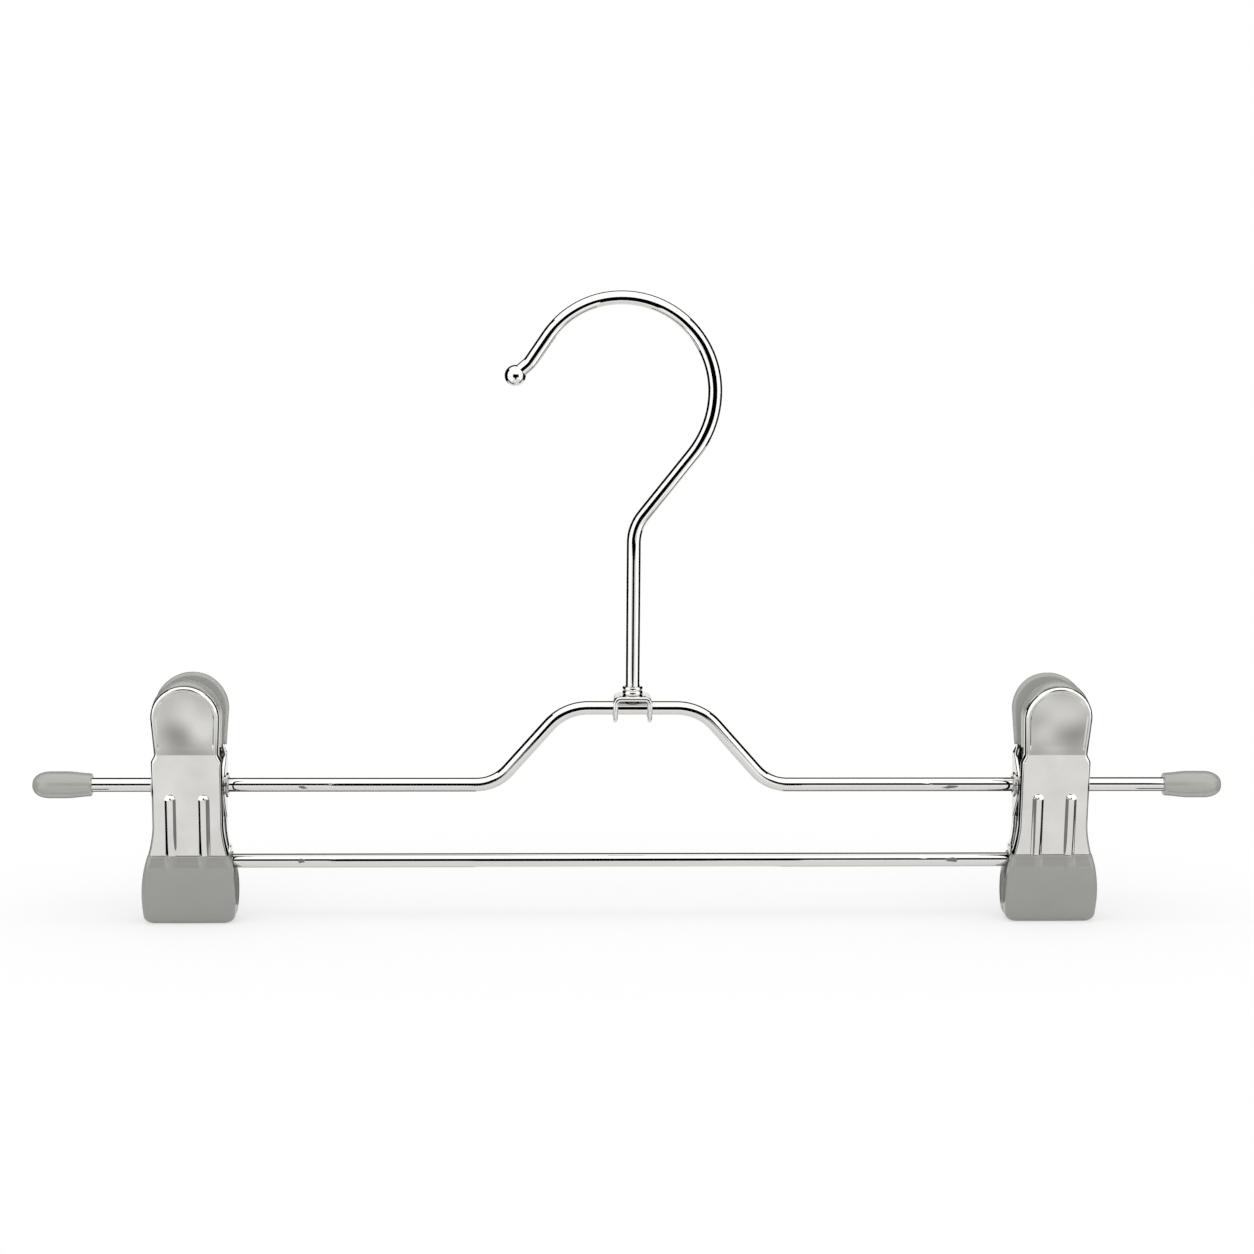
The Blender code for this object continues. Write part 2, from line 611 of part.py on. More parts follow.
def jaw_sheet(joggled):
    """The outer skin of the front jaw, as one open sheet facing outwards."""
    shape = bmesh.new()
    rows = []
    for height in jaw_levels():
        front = web_front(height)
        section = jaw_section(height, joggled)
        right = [shape.verts.new((x, depth - front, height)) for x, depth in section]
        left = [shape.verts.new((-x, depth - front, height)) for x, depth in section[1:]]
        rows.append(list(reversed(left)) + right)
    for upper, lower in zip(rows, rows[1:]):
        skin_between(shape, upper, lower)
    edge = len(jaw_section(0.0, joggled)) - 1
    flat = len(rib_columns())
    tongue_top = rows[-1][edge - flat:edge + flat + 1]
    drop = Vector((0, WEB_STANDOFF + WEB_LEAN * -FLANGE_END_DROP - TIP_STANDOFF,
                   FLANGE_END_DROP - TONGUE_DROP))
    tongue_foot = [shape.verts.new(vert.co + drop) for vert in tongue_top]
    skin_between(shape, tongue_top, tongue_foot)
    add_pad_top(shape, rows[0], joggled)
    return shape


def skin_between(shape, upper, lower):
    for index in range(len(upper) - 1):
        shape.faces.new((upper[index], lower[index], lower[index + 1], upper[index + 1]))


def add_pad_top(shape, base_row, joggled):
    """Half-round top of the finger pad: the right half of the base row swung over to the left."""
    section = jaw_section(PAD_ARC_RISE, joggled)
    middle = len(section) - 1
    steps = 10
    previous = base_row[middle:]
    for step in range(1, steps + 1):
        if step == steps:
            spoke = [base_row[middle]] + list(reversed(base_row[:middle]))
        else:
            turn = math.pi * step / steps
            spoke = [base_row[middle]]
            for out, depth in section[1:]:
                height = PAD_ARC_RISE + out * math.sin(turn)
                spoke.append(shape.verts.new((out * math.cos(turn), depth - web_front(height), height)))
        shape.faces.new((previous[0], previous[1], spoke[1]))
        for index in range(1, middle):
            shape.faces.new((previous[index], previous[index + 1], spoke[index + 1], spoke[index]))
        previous = spoke


def mirrored_to_rear(shape):
    bmesh.ops.scale(shape, vec=(1, -1, 1), verts=shape.verts)
    bmesh.ops.reverse_faces(shape, faces=shape.faces)


def build_jaw(name, rear, inner_side, chrome, parent):
    """One stamped jaw: finger pad, web with two ribs, ears for the pivot, tongue for the shoe."""
    shape = jaw_sheet(joggled=not rear)
    if rear:
        mirrored_to_rear(shape)
    mesh = bpy.data.meshes.new(name)
    shape.to_mesh(mesh)
    shape.free()
    mesh.shade_smooth()
    mesh.set_sharp_from_angle(angle=math.radians(35.0))
    mesh.materials.append(chrome)
    jaw = link(bpy.data.objects.new(name, mesh), parent)
    solidify = jaw.modifiers.new("sheet_thickness", 'SOLIDIFY')
    solidify.thickness = JAW_SHEET
    solidify.offset = -1.0
    solidify.use_even_offset = True
    reach = OUTER_EAR_HALF + CUT_OVERRUN
    hole = cylinder_along_x(EAR_HOLE_RADIUS, -reach, reach)
    boolean(jaw, cutter_object(name + "_pivot_hole", hole, parent))
    if rear:
        add_bar_lug(jaw, name, inner_side, parent)
    return jaw


def add_bar_lug(jaw, name, inner_side, parent):
    """The rear jaw's lug, which hangs beside the shoes and holds the bar's rod."""
    root_foot = SHOE_TOP_DROP - FIT_GAP
    root_back = web_front(-root_foot) - LUG_ROOT_INSET
    root_top = root_foot - LUG_ROOT_HEIGHT
    steps = 8
    arc = [(LUG_RADIUS * math.cos(-math.pi * step / steps),
            LUG_RADIUS * math.sin(-math.pi * step / steps) - BAR_DROP)
           for step in range(steps + 1)]
    outline = [(root_back, -root_top), (root_back, -root_foot), (LUG_RADIUS, -root_foot)]
    outline += arc + [(-LUG_RADIUS, -BAR_DROP + LUG_RADIUS / 2), (LUG_RADIUS / 2, -root_top)]
    inside = LUG_OUTER - JAW_SHEET
    start = inside if inner_side > 0 else -LUG_OUTER
    lug = prism([(start, y, z) for y, z in outline], (1, 0, 0), JAW_SHEET)
    boolean(jaw, cutter_object(name + "_lug", lug, parent), 'UNION')
    hole = cylinder_along_x(ROD_HOLE_RADIUS, start - FIT_GAP, start + JAW_SHEET + FIT_GAP,
                            z=-BAR_DROP)
    boolean(jaw, cutter_object(name + "_rod_hole", hole, parent))


# Shoes, finger grips, eyelets and springs

def shoe_half_width(drop):
    """Half the width of a shoe at a drop below the pivot, without its rounded foot."""
    along = (drop - SHOE_TOP_DROP) / SHOE_HEIGHT
    if along < SHOE_WIDEST_SHARE:
        lack = SHOE_TOP_TAPER_SHARE * ((SHOE_WIDEST_SHARE - along) / SHOE_WIDEST_SHARE) ** 2
    else:
        lack = SHOE_FOOT_TAPER_SHARE * ((along - SHOE_WIDEST_SHARE) / (1 - SHOE_WIDEST_SHARE)) ** 2
    return SHOE_WIDTH / 2 * (1 - lack)


def shoe_ring(drop, inset, side_inset):
    """Rounded rectangle around the tongue of a front jaw at one level of its shoe."""
    along = (drop - SHOE_TOP_DROP) / SHOE_HEIGHT
    outer = web_front(-min(drop, TONGUE_DROP)) + SHOE_SKIN + SHOE_CROWN * math.sin(math.pi * along)
    if drop >= GRIP_FACE_TOP_DROP:
        inner = FIT_GAP / 2
    elif drop <= GRIP_FACE_TOP_DROP - GRIP_RAMP_HEIGHT:
        inner = SHOE_RECESS
    else:
        inner = FIT_GAP / 2 + (SHOE_RECESS - FIT_GAP / 2) * (
            GRIP_FACE_TOP_DROP - drop) / GRIP_RAMP_HEIGHT
    half = shoe_half_width(drop) - side_inset
    front = inset - outer
    back = -inner - inset
    steps = 3
    ring = []
    corners = ((half, front, 1, 1, -90), (half, back, 1, -1, 0),
               (-half, back, -1, -1, 90), (-half, front, -1, 1, 180))
    for x, y, x_side, y_side, start in corners:
        round_edge = SHOE_EDGE_RADIUS if y == front else SHOE_INNER_EDGE_RADIUS
        for step in range(steps + 1):
            turn = math.radians(start + 90 * step / steps)
            ring.append((x - x_side * round_edge + round_edge * math.cos(turn),
                         y + y_side * round_edge + round_edge * math.sin(turn), -drop))
    return ring


def build_shoe(name, rear, vinyl, parent):
    """Soft shoe dipped over the end of a jaw; its flat inner face does the gripping."""
    shape = bmesh.new()
    corner = SHOE_CORNER_RADIUS
    foot_start = SHOE_BOTTOM_DROP - corner
    edge = SHOE_INNER_EDGE_RADIUS
    spread = GRIP_FACE_TOP_DROP - GRIP_RAMP_HEIGHT
    plain = (SHOE_TOP_DROP + edge, (SHOE_TOP_DROP + spread) / 2, spread, GRIP_FACE_TOP_DROP,
             (GRIP_FACE_TOP_DROP + foot_start) / 2, foot_start)
    rings = [shoe_ring(SHOE_TOP_DROP, edge / 2, edge / 2)]
    rings += [shoe_ring(drop, 0.0, 0.0) for drop in plain]
    steps = 3
    for step in range(1, steps + 1):
        turn = math.pi / 2 * step / steps
        pulled = 1 - math.cos(turn)
        rings.append(shoe_ring(foot_start + corner * math.sin(turn), edge * pulled, corner * pulled))
    loops = [[shape.verts.new(point) for point in ring] for ring in rings]
    for upper, lower in zip(loops, loops[1:]):
        for index in range(len(upper)):
            after = (index + 1) % len(upper)
            shape.faces.new((upper[index], upper[after], lower[after], lower[index]))
    shape.faces.new(loops[0])
    shape.faces.new(list(reversed(loops[-1])))
    slot = tongue_slot()
    if rear:
        mirrored_to_rear(shape)
        mirrored_to_rear(slot)
    shoe = mesh_object(name, shape, vinyl, parent)
    boolean(shoe, cutter_object(name + "_slot", slot, parent))
    return shoe


def tongue_slot():
    """The pocket that the jaw's tongue fills: the tongue with a gap all round, open at the top."""
    half = FLARE_WIDTH / 2 - EDGE_BEND_RADIUS + FIT_GAP
    top = SHOE_TOP_DROP - CUT_OVERRUN
    foot = TONGUE_DROP + FIT_GAP
    outline = []
    for drop, depth in ((top, -FIT_GAP), (foot, -FIT_GAP), (foot, JAW_SHEET + FIT_GAP),
                        (top, JAW_SHEET + FIT_GAP)):
        outline.append((-half, depth - web_front(-drop), -drop))
    return prism(outline, (1, 0, 0), 2 * half)


def grip_plane(height):
    """Where a finger grip's inner face stands: two grips meet when the jaws are full open."""
    return GRIP_MARGIN + height * math.tan(JAW_OPEN_ANGLE / 2)


def grip_ring(overhang, depth, share):
    """Outline of a finger grip, from its face (share 0, at a depth) to its inner plane (1)."""
    half = PAD_HALF + overhang
    foot = GRIP_FOOT_RISE + REAR_GRIP_OVERHANG - overhang
    steps = 12
    outline = [(-half, foot)]
    outline += [(-half * math.cos(math.pi * step / steps),
                 PAD_ARC_RISE + half * math.sin(math.pi * step / steps))
                for step in range(steps + 1)]
    outline.append((half, foot))
    ring = []
    for x, z in outline:
        front = depth - web_front(z)
        ring.append((x, front + (-grip_plane(z) - front) * share, z))
    return ring


def build_finger_grip(name, rear, vinyl, parent):
    """Soft liner plugged into the hollow side of a finger pad, standing proud of its rim."""
    boss = -JAW_SHEET - FIT_GAP - BEND_NOTCH
    seat = FLANGE_DEPTH + FIT_GAP
    edge = GRIP_EDGE_RADIUS
    widest = REAR_GRIP_OVERHANG if rear else FRONT_GRIP_OVERHANG
    rings = [grip_ring(boss, JAW_SHEET + FIT_GAP, 0.0), grip_ring(boss, seat, 0.0),
             grip_ring(0.0, seat, 0.0), grip_ring(widest, seat, GRIP_WIDEST_SHARE),
             grip_ring(widest - edge * GRIP_EDGE_INSET_SHARE, seat, GRIP_EDGE_SHARE),
             grip_ring(widest - edge, seat, 1.0)]
    shape = bmesh.new()
    loops = [[shape.verts.new(point) for point in ring] for ring in rings]
    for near, far in zip(loops, loops[1:]):
        for index in range(len(near)):
            after = (index + 1) % len(near)
            shape.faces.new((near[index], near[after], far[after], far[index]))
    shape.faces.new(loops[0])
    shape.faces.new(loops[-1])
    if rear:
        mirrored_to_rear(shape)
    mesh_object(name, shape, vinyl, parent)


def build_eyelet(name, chrome, parent):
    """Hollow rivet that holds the ears together and slides along the arm."""
    seat = OUTER_EAR_HALF + FIT_GAP
    end = seat + EYELET_FLANGE_THICKNESS
    flange = EYELET_RADIUS + EYELET_FLANGE_OVERHANG
    soft = EYELET_FLANGE_THICKNESS / 2
    half = [(EYELET_RADIUS, seat), (flange - soft / 2, seat), (flange, seat + soft / 2),
            (flange - soft / 2, end - soft / 4), (flange - soft, end), (BORE_RADIUS, end)]
    profile = half + [(radius, -height) for radius, height in reversed(half)]
    shape = turned(profile, 20, closed=True)
    bmesh.ops.rotate(shape, verts=shape.verts, cent=(0, 0, 0), matrix=Matrix.Rotation(
        math.pi / 2, 3, 'Y'))
    mesh_object(name, shape, chrome, parent)


def spring_points():
    """Leg, coil and leg of the torsion spring, whose coil runs along X round the eyelet."""
    pitch = SPRING_WIRE + SPRING_TURN_GAP
    length = pitch * SPRING_TURNS
    leg_rest = web_front(SPRING_LEG_RISE) - JAW_SHEET - FIT_GAP - SPRING_WIRE / 2
    leg_steps = 5
    leg = [(SPRING_RADIUS + (leg_rest - SPRING_RADIUS) * (step / leg_steps) ** 2,
            SPRING_LEG_RISE * step / leg_steps) for step in range(1, leg_steps + 1)]
    points = [(-length / 2, -out, up) for out, up in reversed(leg)]
    steps = round(SPRING_TURNS * POINTS_PER_TURN)
    for step in range(steps + 1):
        turn = math.pi + 2 * math.pi * SPRING_TURNS * step / steps
        points.append((-length / 2 + length * step / steps,
                       SPRING_RADIUS * math.cos(turn), SPRING_RADIUS * math.sin(turn)))
    points += [(length / 2, out, up) for out, up in leg]
    return [Vector(point) for point in points]


def self_gap(points, diameter, skip):
    """Least clear distance between stretches of one tube that lie more than skip points apart."""
    nearest = min((points[one] - points[two]).length
                  for one in range(len(points)) for two in range(one + skip, len(points)))
    return nearest - diameter


def build_spring(name, steel, parent):
    points = spring_points()
    gap = self_gap(points, SPRING_WIRE, POINTS_PER_TURN // 2)
    print(name, "least gap between curls, mm:", round(gap * 1000, 3),
          "limit", SPRING_SELF_GAP_LIMIT * 1000)
    wire_object(name, points, SPRING_WIRE, 1, steel, parent)


# The telescopic bar

def build_bar_tube(chrome, parent, left_x, right_x):
    """Outer tube of the bar: pushed together, its ends stand against the shoes' flanks."""
    stop = shoe_half_width(BAR_DROP) + FIT_GAP
    start = left_x + stop
    end = right_x - stop
    tube = mesh_object("bar_tube", cylinder_along_x(BAR_DIAMETER / 2, start, end, z=-BAR_DROP),
                       chrome, parent)
    bore = cylinder_along_x(ROD_RADIUS + ROD_PLAY, start - CUT_OVERRUN, end + CUT_OVERRUN,
                            z=-BAR_DROP)
    boolean(tube, cutter_object("bar_tube_bore", bore, parent))


def build_bar_rod(name, inner_side, chrome, parent):
    """Inner rod: its head sits behind the lug, its shaft slides in the tube."""
    head_back = LUG_OUTER - JAW_SHEET - FIT_GAP - ROD_HEAD_THICKNESS
    shaft_start = head_back + ROD_HEAD_THICKNESS
    reach = shoe_half_width(BAR_DROP) + FIT_GAP + ROD_REACH
    head = ROD_HOLE_RADIUS + ROD_HEAD_OVERHANG - ROD_PLAY
    profile = [(0, head_back), (head, head_back), (head, shaft_start), (ROD_RADIUS, shaft_start),
               (ROD_RADIUS, reach), (0, reach)]
    shape = turned(profile, 12)
    place = (Matrix.Translation((0, 0, -BAR_DROP))
             @ Matrix.Rotation(inner_side * math.pi / 2, 4, 'Y'))
    bmesh.ops.transform(shape, matrix=place, verts=shape.verts)
    mesh_object(name, shape, chrome, parent)


def build_clip(hand, x, inner_side, finishes, bar_axis):
    """Everything that slides with one clip, and the front jaw that turns on its pivot."""
    chrome, steel, vinyl = finishes
    clip = add_axis(hand + "_clip_axis", x, ARM_Z, bar_axis)
    front = add_axis(hand + "_front_jaw_axis", x, ARM_Z, clip)
    build_jaw(hand + "_rear_jaw", True, inner_side, chrome, clip)
    build_shoe(hand + "_rear_shoe", True, vinyl, clip)
    build_finger_grip(hand + "_rear_finger_grip", True, vinyl, clip)
    build_eyelet(hand + "_pivot_eyelet", chrome, clip)
    build_spring(hand + "_clip_spring", steel, clip)
    build_bar_rod(hand + "_bar_rod", inner_side, chrome, clip)
    build_jaw(hand + "_front_jaw", False, inner_side, chrome, front)
    build_shoe(hand + "_front_shoe", False, vinyl, front)
    build_finger_grip(hand + "_front_finger_grip", False, vinyl, front)


def main():
    clear_scene()
    chrome = make_material("chrome_plated_steel", (0.78, 0.78, 0.77), 0.08, 1.0)
    steel = make_material("spring_steel", (0.42, 0.42, 0.43), 0.30, 1.0)
    vinyl = make_material("grey_soft_vinyl", (0.315, 0.319, 0.300), 0.45, 0.0)

    root = add_axis("hook_root", 0.0, 0.0)
    build_hook(chrome, root)
    swivel = add_axis("hook_swivel_axis", 0.0, STEM_FOOT_Z, root)
    frame = add_axis("frame_origin", 0.0, 0.0, swivel)
    build_ferrule(chrome, frame)
    build_saddle(chrome, frame)
    build_frame_wire(chrome, frame)
    build_end_cap("left_end_cap", -1, vinyl, frame)
    build_end_cap("right_end_cap", 1, vinyl, frame)

    bar_axis = add_axis("bar_swing_axis", 0.0, ARM_Z, frame)
    build_bar_tube(chrome, bar_axis, -LEFT_CLIP_OUT, RIGHT_CLIP_OUT)
    finishes = (chrome, steel, vinyl)
    build_clip("left", -LEFT_CLIP_OUT, 1, finishes, bar_axis)
    build_clip("right", RIGHT_CLIP_OUT, -1, finishes, bar_axis)
    bpy.context.view_layer.update()


main()
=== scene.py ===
"""Looks of the trouser hanger, laid out as a Blender add-on and run as a script.

Every piece is modelled in metres in the hanger's own frame: X along the arms, -Y towards the
viewer, +Z up, the origin inside the hook where it sits on the rail.
"""
from math import atan, copysign, cos, hypot, pi, radians, sin, sqrt, tan

import bmesh
import bpy
from mathutils import Matrix, Vector


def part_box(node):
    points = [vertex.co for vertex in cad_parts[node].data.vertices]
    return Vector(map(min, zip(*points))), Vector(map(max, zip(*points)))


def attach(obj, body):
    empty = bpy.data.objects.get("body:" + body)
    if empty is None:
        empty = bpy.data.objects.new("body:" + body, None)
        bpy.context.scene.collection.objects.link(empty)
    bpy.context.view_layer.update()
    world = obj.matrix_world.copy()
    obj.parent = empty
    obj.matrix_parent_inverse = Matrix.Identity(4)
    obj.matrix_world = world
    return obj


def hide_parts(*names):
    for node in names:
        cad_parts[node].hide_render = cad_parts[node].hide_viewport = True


bl_info = {
    "name": "Trouser hanger",
    "version": (1, 0, 0),
    "blender": (4, 5, 0),
    "location": "3D View > Sidebar > Hanger",
    "description": "Builds the chromed wire trouser hanger, its two sprung clips and its stage",
    "category": "Object",
}

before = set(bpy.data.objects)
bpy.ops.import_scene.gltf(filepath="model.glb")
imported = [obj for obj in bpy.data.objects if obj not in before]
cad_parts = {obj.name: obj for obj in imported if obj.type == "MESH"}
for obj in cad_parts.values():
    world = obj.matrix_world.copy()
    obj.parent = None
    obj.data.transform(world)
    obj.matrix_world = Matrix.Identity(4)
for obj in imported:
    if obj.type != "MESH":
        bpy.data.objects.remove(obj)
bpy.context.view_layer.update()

HANDS = (("left", 1.0), ("right", -1.0))
WIRE_SIDES = 40
BEND_STEP = radians(3.0)
CLEARANCE = 0.0003
WELD, FINE_WELD, TURNED_WELD = 0.000002, 0.000001, 0.0000005
WHITE = (1, 1, 1, 1)
PAD_MAP = "pad_place"
# Painted reflections on a pad, darker and lighter patches in its colour: place in centimetres
# outwards of and above the pivot, half-widths, and how much it darkens or lightens the tone
PAD_PAINTED_REFLECTIONS = (((0.28, 1.44), (0.80, 0.56), -0.34), ((-0.36, 1.48), (0.46, 0.42), 0.20),
               ((-0.05, 2.2), (0.9, 0.5), 0.10), ((0.0, 0.93), (1.8, 0.42), -0.16))


def node_middle(node):
    low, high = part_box(node)
    return (low + high) / 2


ARM_HEIGHT = node_middle("left_end_cap").z
BAR_HEIGHT = node_middle("bar_tube").z
STEM_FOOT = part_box("hook_wire")[0].z
FLOOR_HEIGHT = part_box("left_front_shoe")[0].z

# Cards that only the metal sees. The floor ones lie just above the floor, the flags on top.
GLOW_FLOOR = FLOOR_HEIGHT + 0.0005
FLAG_FLOOR = GLOW_FLOOR + 0.0003
TENT_REACH = 1.5
CLOTHS = {"bright_tent_cloth": 1.6, "pale_floor_cloth": 1.3, "grey_flag_cloth": 0.25,
          "black_flag_cloth": 0.0}
# Name, cloth, and where it reaches along X, Y and Z
FLAT_CARDS = (
    ("low_front_flag", "black", (-0.10, 0.075), -0.30, (GLOW_FLOOR, -0.108)),
    ("front_flag", "black", (-0.24, 0.22), -0.30, (-0.108, 0.075)),
    ("front_floor_glow", "pale", (-0.30, 0.30), (-0.295, -0.135), GLOW_FLOOR),
    ("middle_floor_glow", "pale", (-0.07, 0.07), (-0.135, -0.100), GLOW_FLOOR),
    ("left_floor_flag", "black", (-TENT_REACH, -0.20), (0.010, 1.62), FLAG_FLOOR),
    ("right_floor_flag", "black", (0.20, TENT_REACH), (0.010, 1.62), FLAG_FLOOR),
    ("left_near_flag", "black", (-0.20, -0.04), (0.010, 0.055), FLAG_FLOOR),
    ("right_near_flag", "black", (0.04, 0.20), (0.010, 0.055), FLAG_FLOOR),
    ("left_far_flag", "black", (-0.20, -0.13), (0.20, 1.62), FLAG_FLOOR),
    ("right_far_flag", "black", (0.15, 0.20), (0.20, 1.62), FLAG_FLOOR),
    ("left_foot_flag", "black", (-0.165, -0.137), (-0.023, -0.0105), FLAG_FLOOR),
    ("right_foot_flag", "black", (0.137, 0.165), (-0.023, -0.0105), FLAG_FLOOR),
    ("middle_floor_flag", "black", (-0.045, 0.035), (-0.30, -0.150), FLAG_FLOOR),
    ("left_pad_flag", "black", -0.165, (-0.0145, 0.002), (-0.138, -0.112)),
    ("right_pad_flag", "black", 0.165, (-0.0145, 0.032), (-0.138, -0.112)),
    ("left_rib_flag", "black", -0.165, (-0.023, -0.0105), (GLOW_FLOOR, -0.138)),
    ("right_rib_flag", "black", 0.165, (-0.023, -0.0105), (GLOW_FLOOR, -0.138)),
    ("left_rib_shade", "grey", -0.085, (-0.032, -0.015), (-0.150, -0.124)),
    ("right_rib_shade", "grey", 0.085, (-0.032, -0.015), (-0.150, -0.124)),
)
# Name, cloth, azimuth where it starts and how far it goes round, foot and top
ROUND_CARDS = (
    ("right_tent_side", "bright", 16.0, 74.0, GLOW_FLOOR, GLOW_FLOOR + 1.4),
    ("left_tent_side", "bright", -90.0, 74.0, GLOW_FLOOR, GLOW_FLOOR + 1.4),
    ("right_back_flag", "black", 90.0, 74.0, GLOW_FLOOR, 0.36),
    ("left_back_flag", "black", 192.0, 78.0, GLOW_FLOOR, 0.36),
    ("high_back_flag", "black", 90.0, 180.0, 0.35, 2.8),
)
# Name, place along X, how far to the front it reaches, foot and top
FINS = (
    ("left_outer_fin", -0.190, 0.13, GLOW_FLOOR, -0.05),
    ("left_fin", -0.075, 0.12, -0.112, 0.05),
    ("right_fin", 0.075, 0.12, -0.112, 0.05),
    ("right_outer_fin", 0.190, 0.13, GLOW_FLOOR, -0.05),
)


# Properties

def metres(name, description, default):
    return bpy.props.FloatProperty(name=name, description=description, default=default,
                                   min=0.0, unit='LENGTH', subtype='DISTANCE', precision=5)


def angle(name, description, degrees):
    return bpy.props.FloatProperty(name=name, description=description,
                                   default=radians(degrees), subtype='ANGLE')


def srgb(name, description, default):
    return bpy.props.StringProperty(name=name, description=description, default=default)


def factor(name, description, default):
    return bpy.props.FloatProperty(name=name, description=description, default=default,
                                   min=0.0, max=1.0, subtype='FACTOR')


class HangerWireSizes(bpy.types.PropertyGroup):
    """Sizes of the bent wires."""
    diameter: metres("Wire diameter", "Thickness of the hook, frame and bar", 0.0035)
    play: metres("Wire play", "Room round a wire in a hole", 0.00025)
    arc_radius: metres("Hook radius", "Centreline radius of the hook's arc", 0.0233)
    arc_offset: metres("Hook offset", "Arc's centre from the stem's axis", 0.0033)
    shoulder_radius: metres("Shoulder radius", "Arc above the slanted run", 0.0254)
    slant: angle("Slant", "Lean of the run between stem and arc", 38.3)
    stem_bend: metres("Stem bend", "Radius of the bend above the stem", 0.0110)
    tip_radius: metres("Tip arc radius", "Arc before the tip", 0.0218)
    tip_start: angle("Tip arc start", "Where the tip's tighter arc starts", 100.0)
    arc_end: angle("Arc end", "Where the arc runs out", 146.0)
    tip_run: metres("Tip run", "Straight run before the tip turns out", 0.0082)
    tip_turn: angle("Tip turn", "How far the tip turns out", 15.0)
    tip_neck: metres("Tip neck", "From the tip's bend to the ball's centre", 0.0047)
    tip_bend: metres("Tip bend", "Radius of the tip's bend", 0.0040)
    ball_radius: metres("Ball radius", "Ball on the hook's tip", 0.00265)
    frame_end: metres("Frame end", "End of the wire inside a cap", 0.1478)
    frame_rise: metres("Frame rise", "Raised middle above the arms", 0.0196)
    frame_corner: metres("Frame corner", "Outer corner from the middle", 0.0344)
    frame_slope: angle("Frame slope", "Steepness of the two slanted runs", 48.4)
    lower_bend: metres("Lower bend", "Radius where an arm turns up", 0.0107)
    upper_bend: metres("Upper bend", "Radius into the raised middle", 0.0130)
    saddle_sheet: metres("Saddle sheet", "Thickness of the saddle's sheet", 0.0012)
    saddle_fold: metres("Saddle fold", "Outer radius of the saddle's folds", 0.0019)
    saddle_lift: metres("Saddle lift", "Saddle's plate above the model's", 0.0004)


class HangerClipSizes(bpy.types.PropertyGroup):
    """Sizes of the clips, measured from their pivots."""
    sheet: metres("Sheet", "Thickness of the jaws' sheet", 0.0009)
    pad_width: metres("Pad width", "Width of a finger pad", 0.0170)
    pad_rise: metres("Pad rise", "Top of a finger pad above the pivot", 0.0269)
    pad_lean: angle("Pad lean", "Outward lean of a finger pad", 12.5)
    pad_dish: metres("Pad dish", "Depth of the dish in a finger pad", 0.00022)
    pad_recess: metres("Pad recess", "Step inside the rolled rim of a pad", 0.0003)
    bend_rise: metres("Bend rise", "Bend line above the pivot", 0.0090)
    bend_notch: metres("Bend notch", "Narrowing at the bend line", 0.0005)
    waist: metres("Waist", "Width at the pivot", 0.0177)
    flare: metres("Flare", "Width at the shoe", 0.0201)
    rib_spacing: metres("Rib spacing", "Distance between the two ribs", 0.0083)
    rib_width: metres("Rib width", "Width of a pressed rib", 0.0032)
    rib_flank: angle("Rib flank", "Steepness of a pressed rib's sides", 34.8)
    rib_top: metres("Rib top", "Top of the ribs below the pivot", 0.0011)
    shoe_width: metres("Shoe width", "Widest part of a shoe", 0.0234)
    shoe_top: metres("Shoe top", "Top of a shoe below the pivot", 0.0172)
    rear_drop: metres("Rear drop", "Rear shoe's top below the front one's", 0.0008)
    shoe_foot: metres("Shoe foot", "Foot of a shoe below the pivot", 0.0346)
    front_side: metres("Front grip side", "Front grip past its pad's sides", 0.00025)
    front_top: metres("Front grip top", "Front grip past its pad's top", 0.0009)
    rear_side: metres("Rear grip side", "Rear grip past its pad's sides", 0.0009)
    rear_top: metres("Rear grip top", "Rear grip past its pad's top", 0.0006)


class HangerFinishes(bpy.types.PropertyGroup):
    """Colours and gloss of the hanger's materials."""
    chrome: srgb("Chrome", "sRGB colour of the chromium plating", "#D6D5D2")
    chrome_roughness: factor("Chrome roughness", "Gloss of the plating", 0.035)
    pad_roughness: factor("Pad roughness", "Gloss of the fingered pads", 0.16)
    # The pad's colour runs between these two: painted reflection, darker and lighter patches on the
    # dish
    pad_dark: srgb("Fingered chrome", "sRGB colour of the dulled places", "#949390")
    pad_light: srgb("Pad chrome", "sRGB colour of the clear places", "#D6D5D1")
    spring: srgb("Spring wire", "sRGB colour of the spring wire", "#ABABAD")
    vinyl: srgb("Vinyl", "sRGB colour of the soft grey vinyl", "#9A9A96")
    vinyl_light: srgb("Liner vinyl", "sRGB colour of the finger grips", "#A7A7A3")
    vinyl_roughness: factor("Vinyl roughness", "Gloss of the vinyl", 0.22)
    floor: srgb("Floor", "sRGB colour of the floor", "#FDFDFD")


# Materials

def linear_colour(text):
    """An sRGB hex value turned to the linear colour that shaders take."""
    values = [int(text[index:index + 2], 16) / 255 for index in (1, 3, 5)]
    linear = [v / 12.92 if v <= 0.04045 else ((v + 0.055) / 1.055) ** 2.4 for v in values]
    return (*linear, 1.0)


def add_node(tree, kind, settings=None, inputs=None, links=None):
    """A node with its settings, socket values and incoming links."""
    node = tree.nodes.new(kind)
    for key, value in (settings or {}).items():
        setattr(node, key, value)
    for key, value in (inputs or {}).items():
        node.inputs[key].default_value = value
    for key, source in (links or {}).items():
        tree.links.new(source, node.inputs[key])
    return node


def add_noise(tree, grain_mm, detail):
    """A noise in the piece's own space, with grains of a real size."""
    place = add_node(tree, "ShaderNodeTexCoord")
    return add_node(tree, "ShaderNodeTexNoise",
                    inputs={"Scale": 1000.0 / grain_mm, "Detail": detail},
                    links={"Vector": place.outputs["Object"]}).outputs["Fac"]


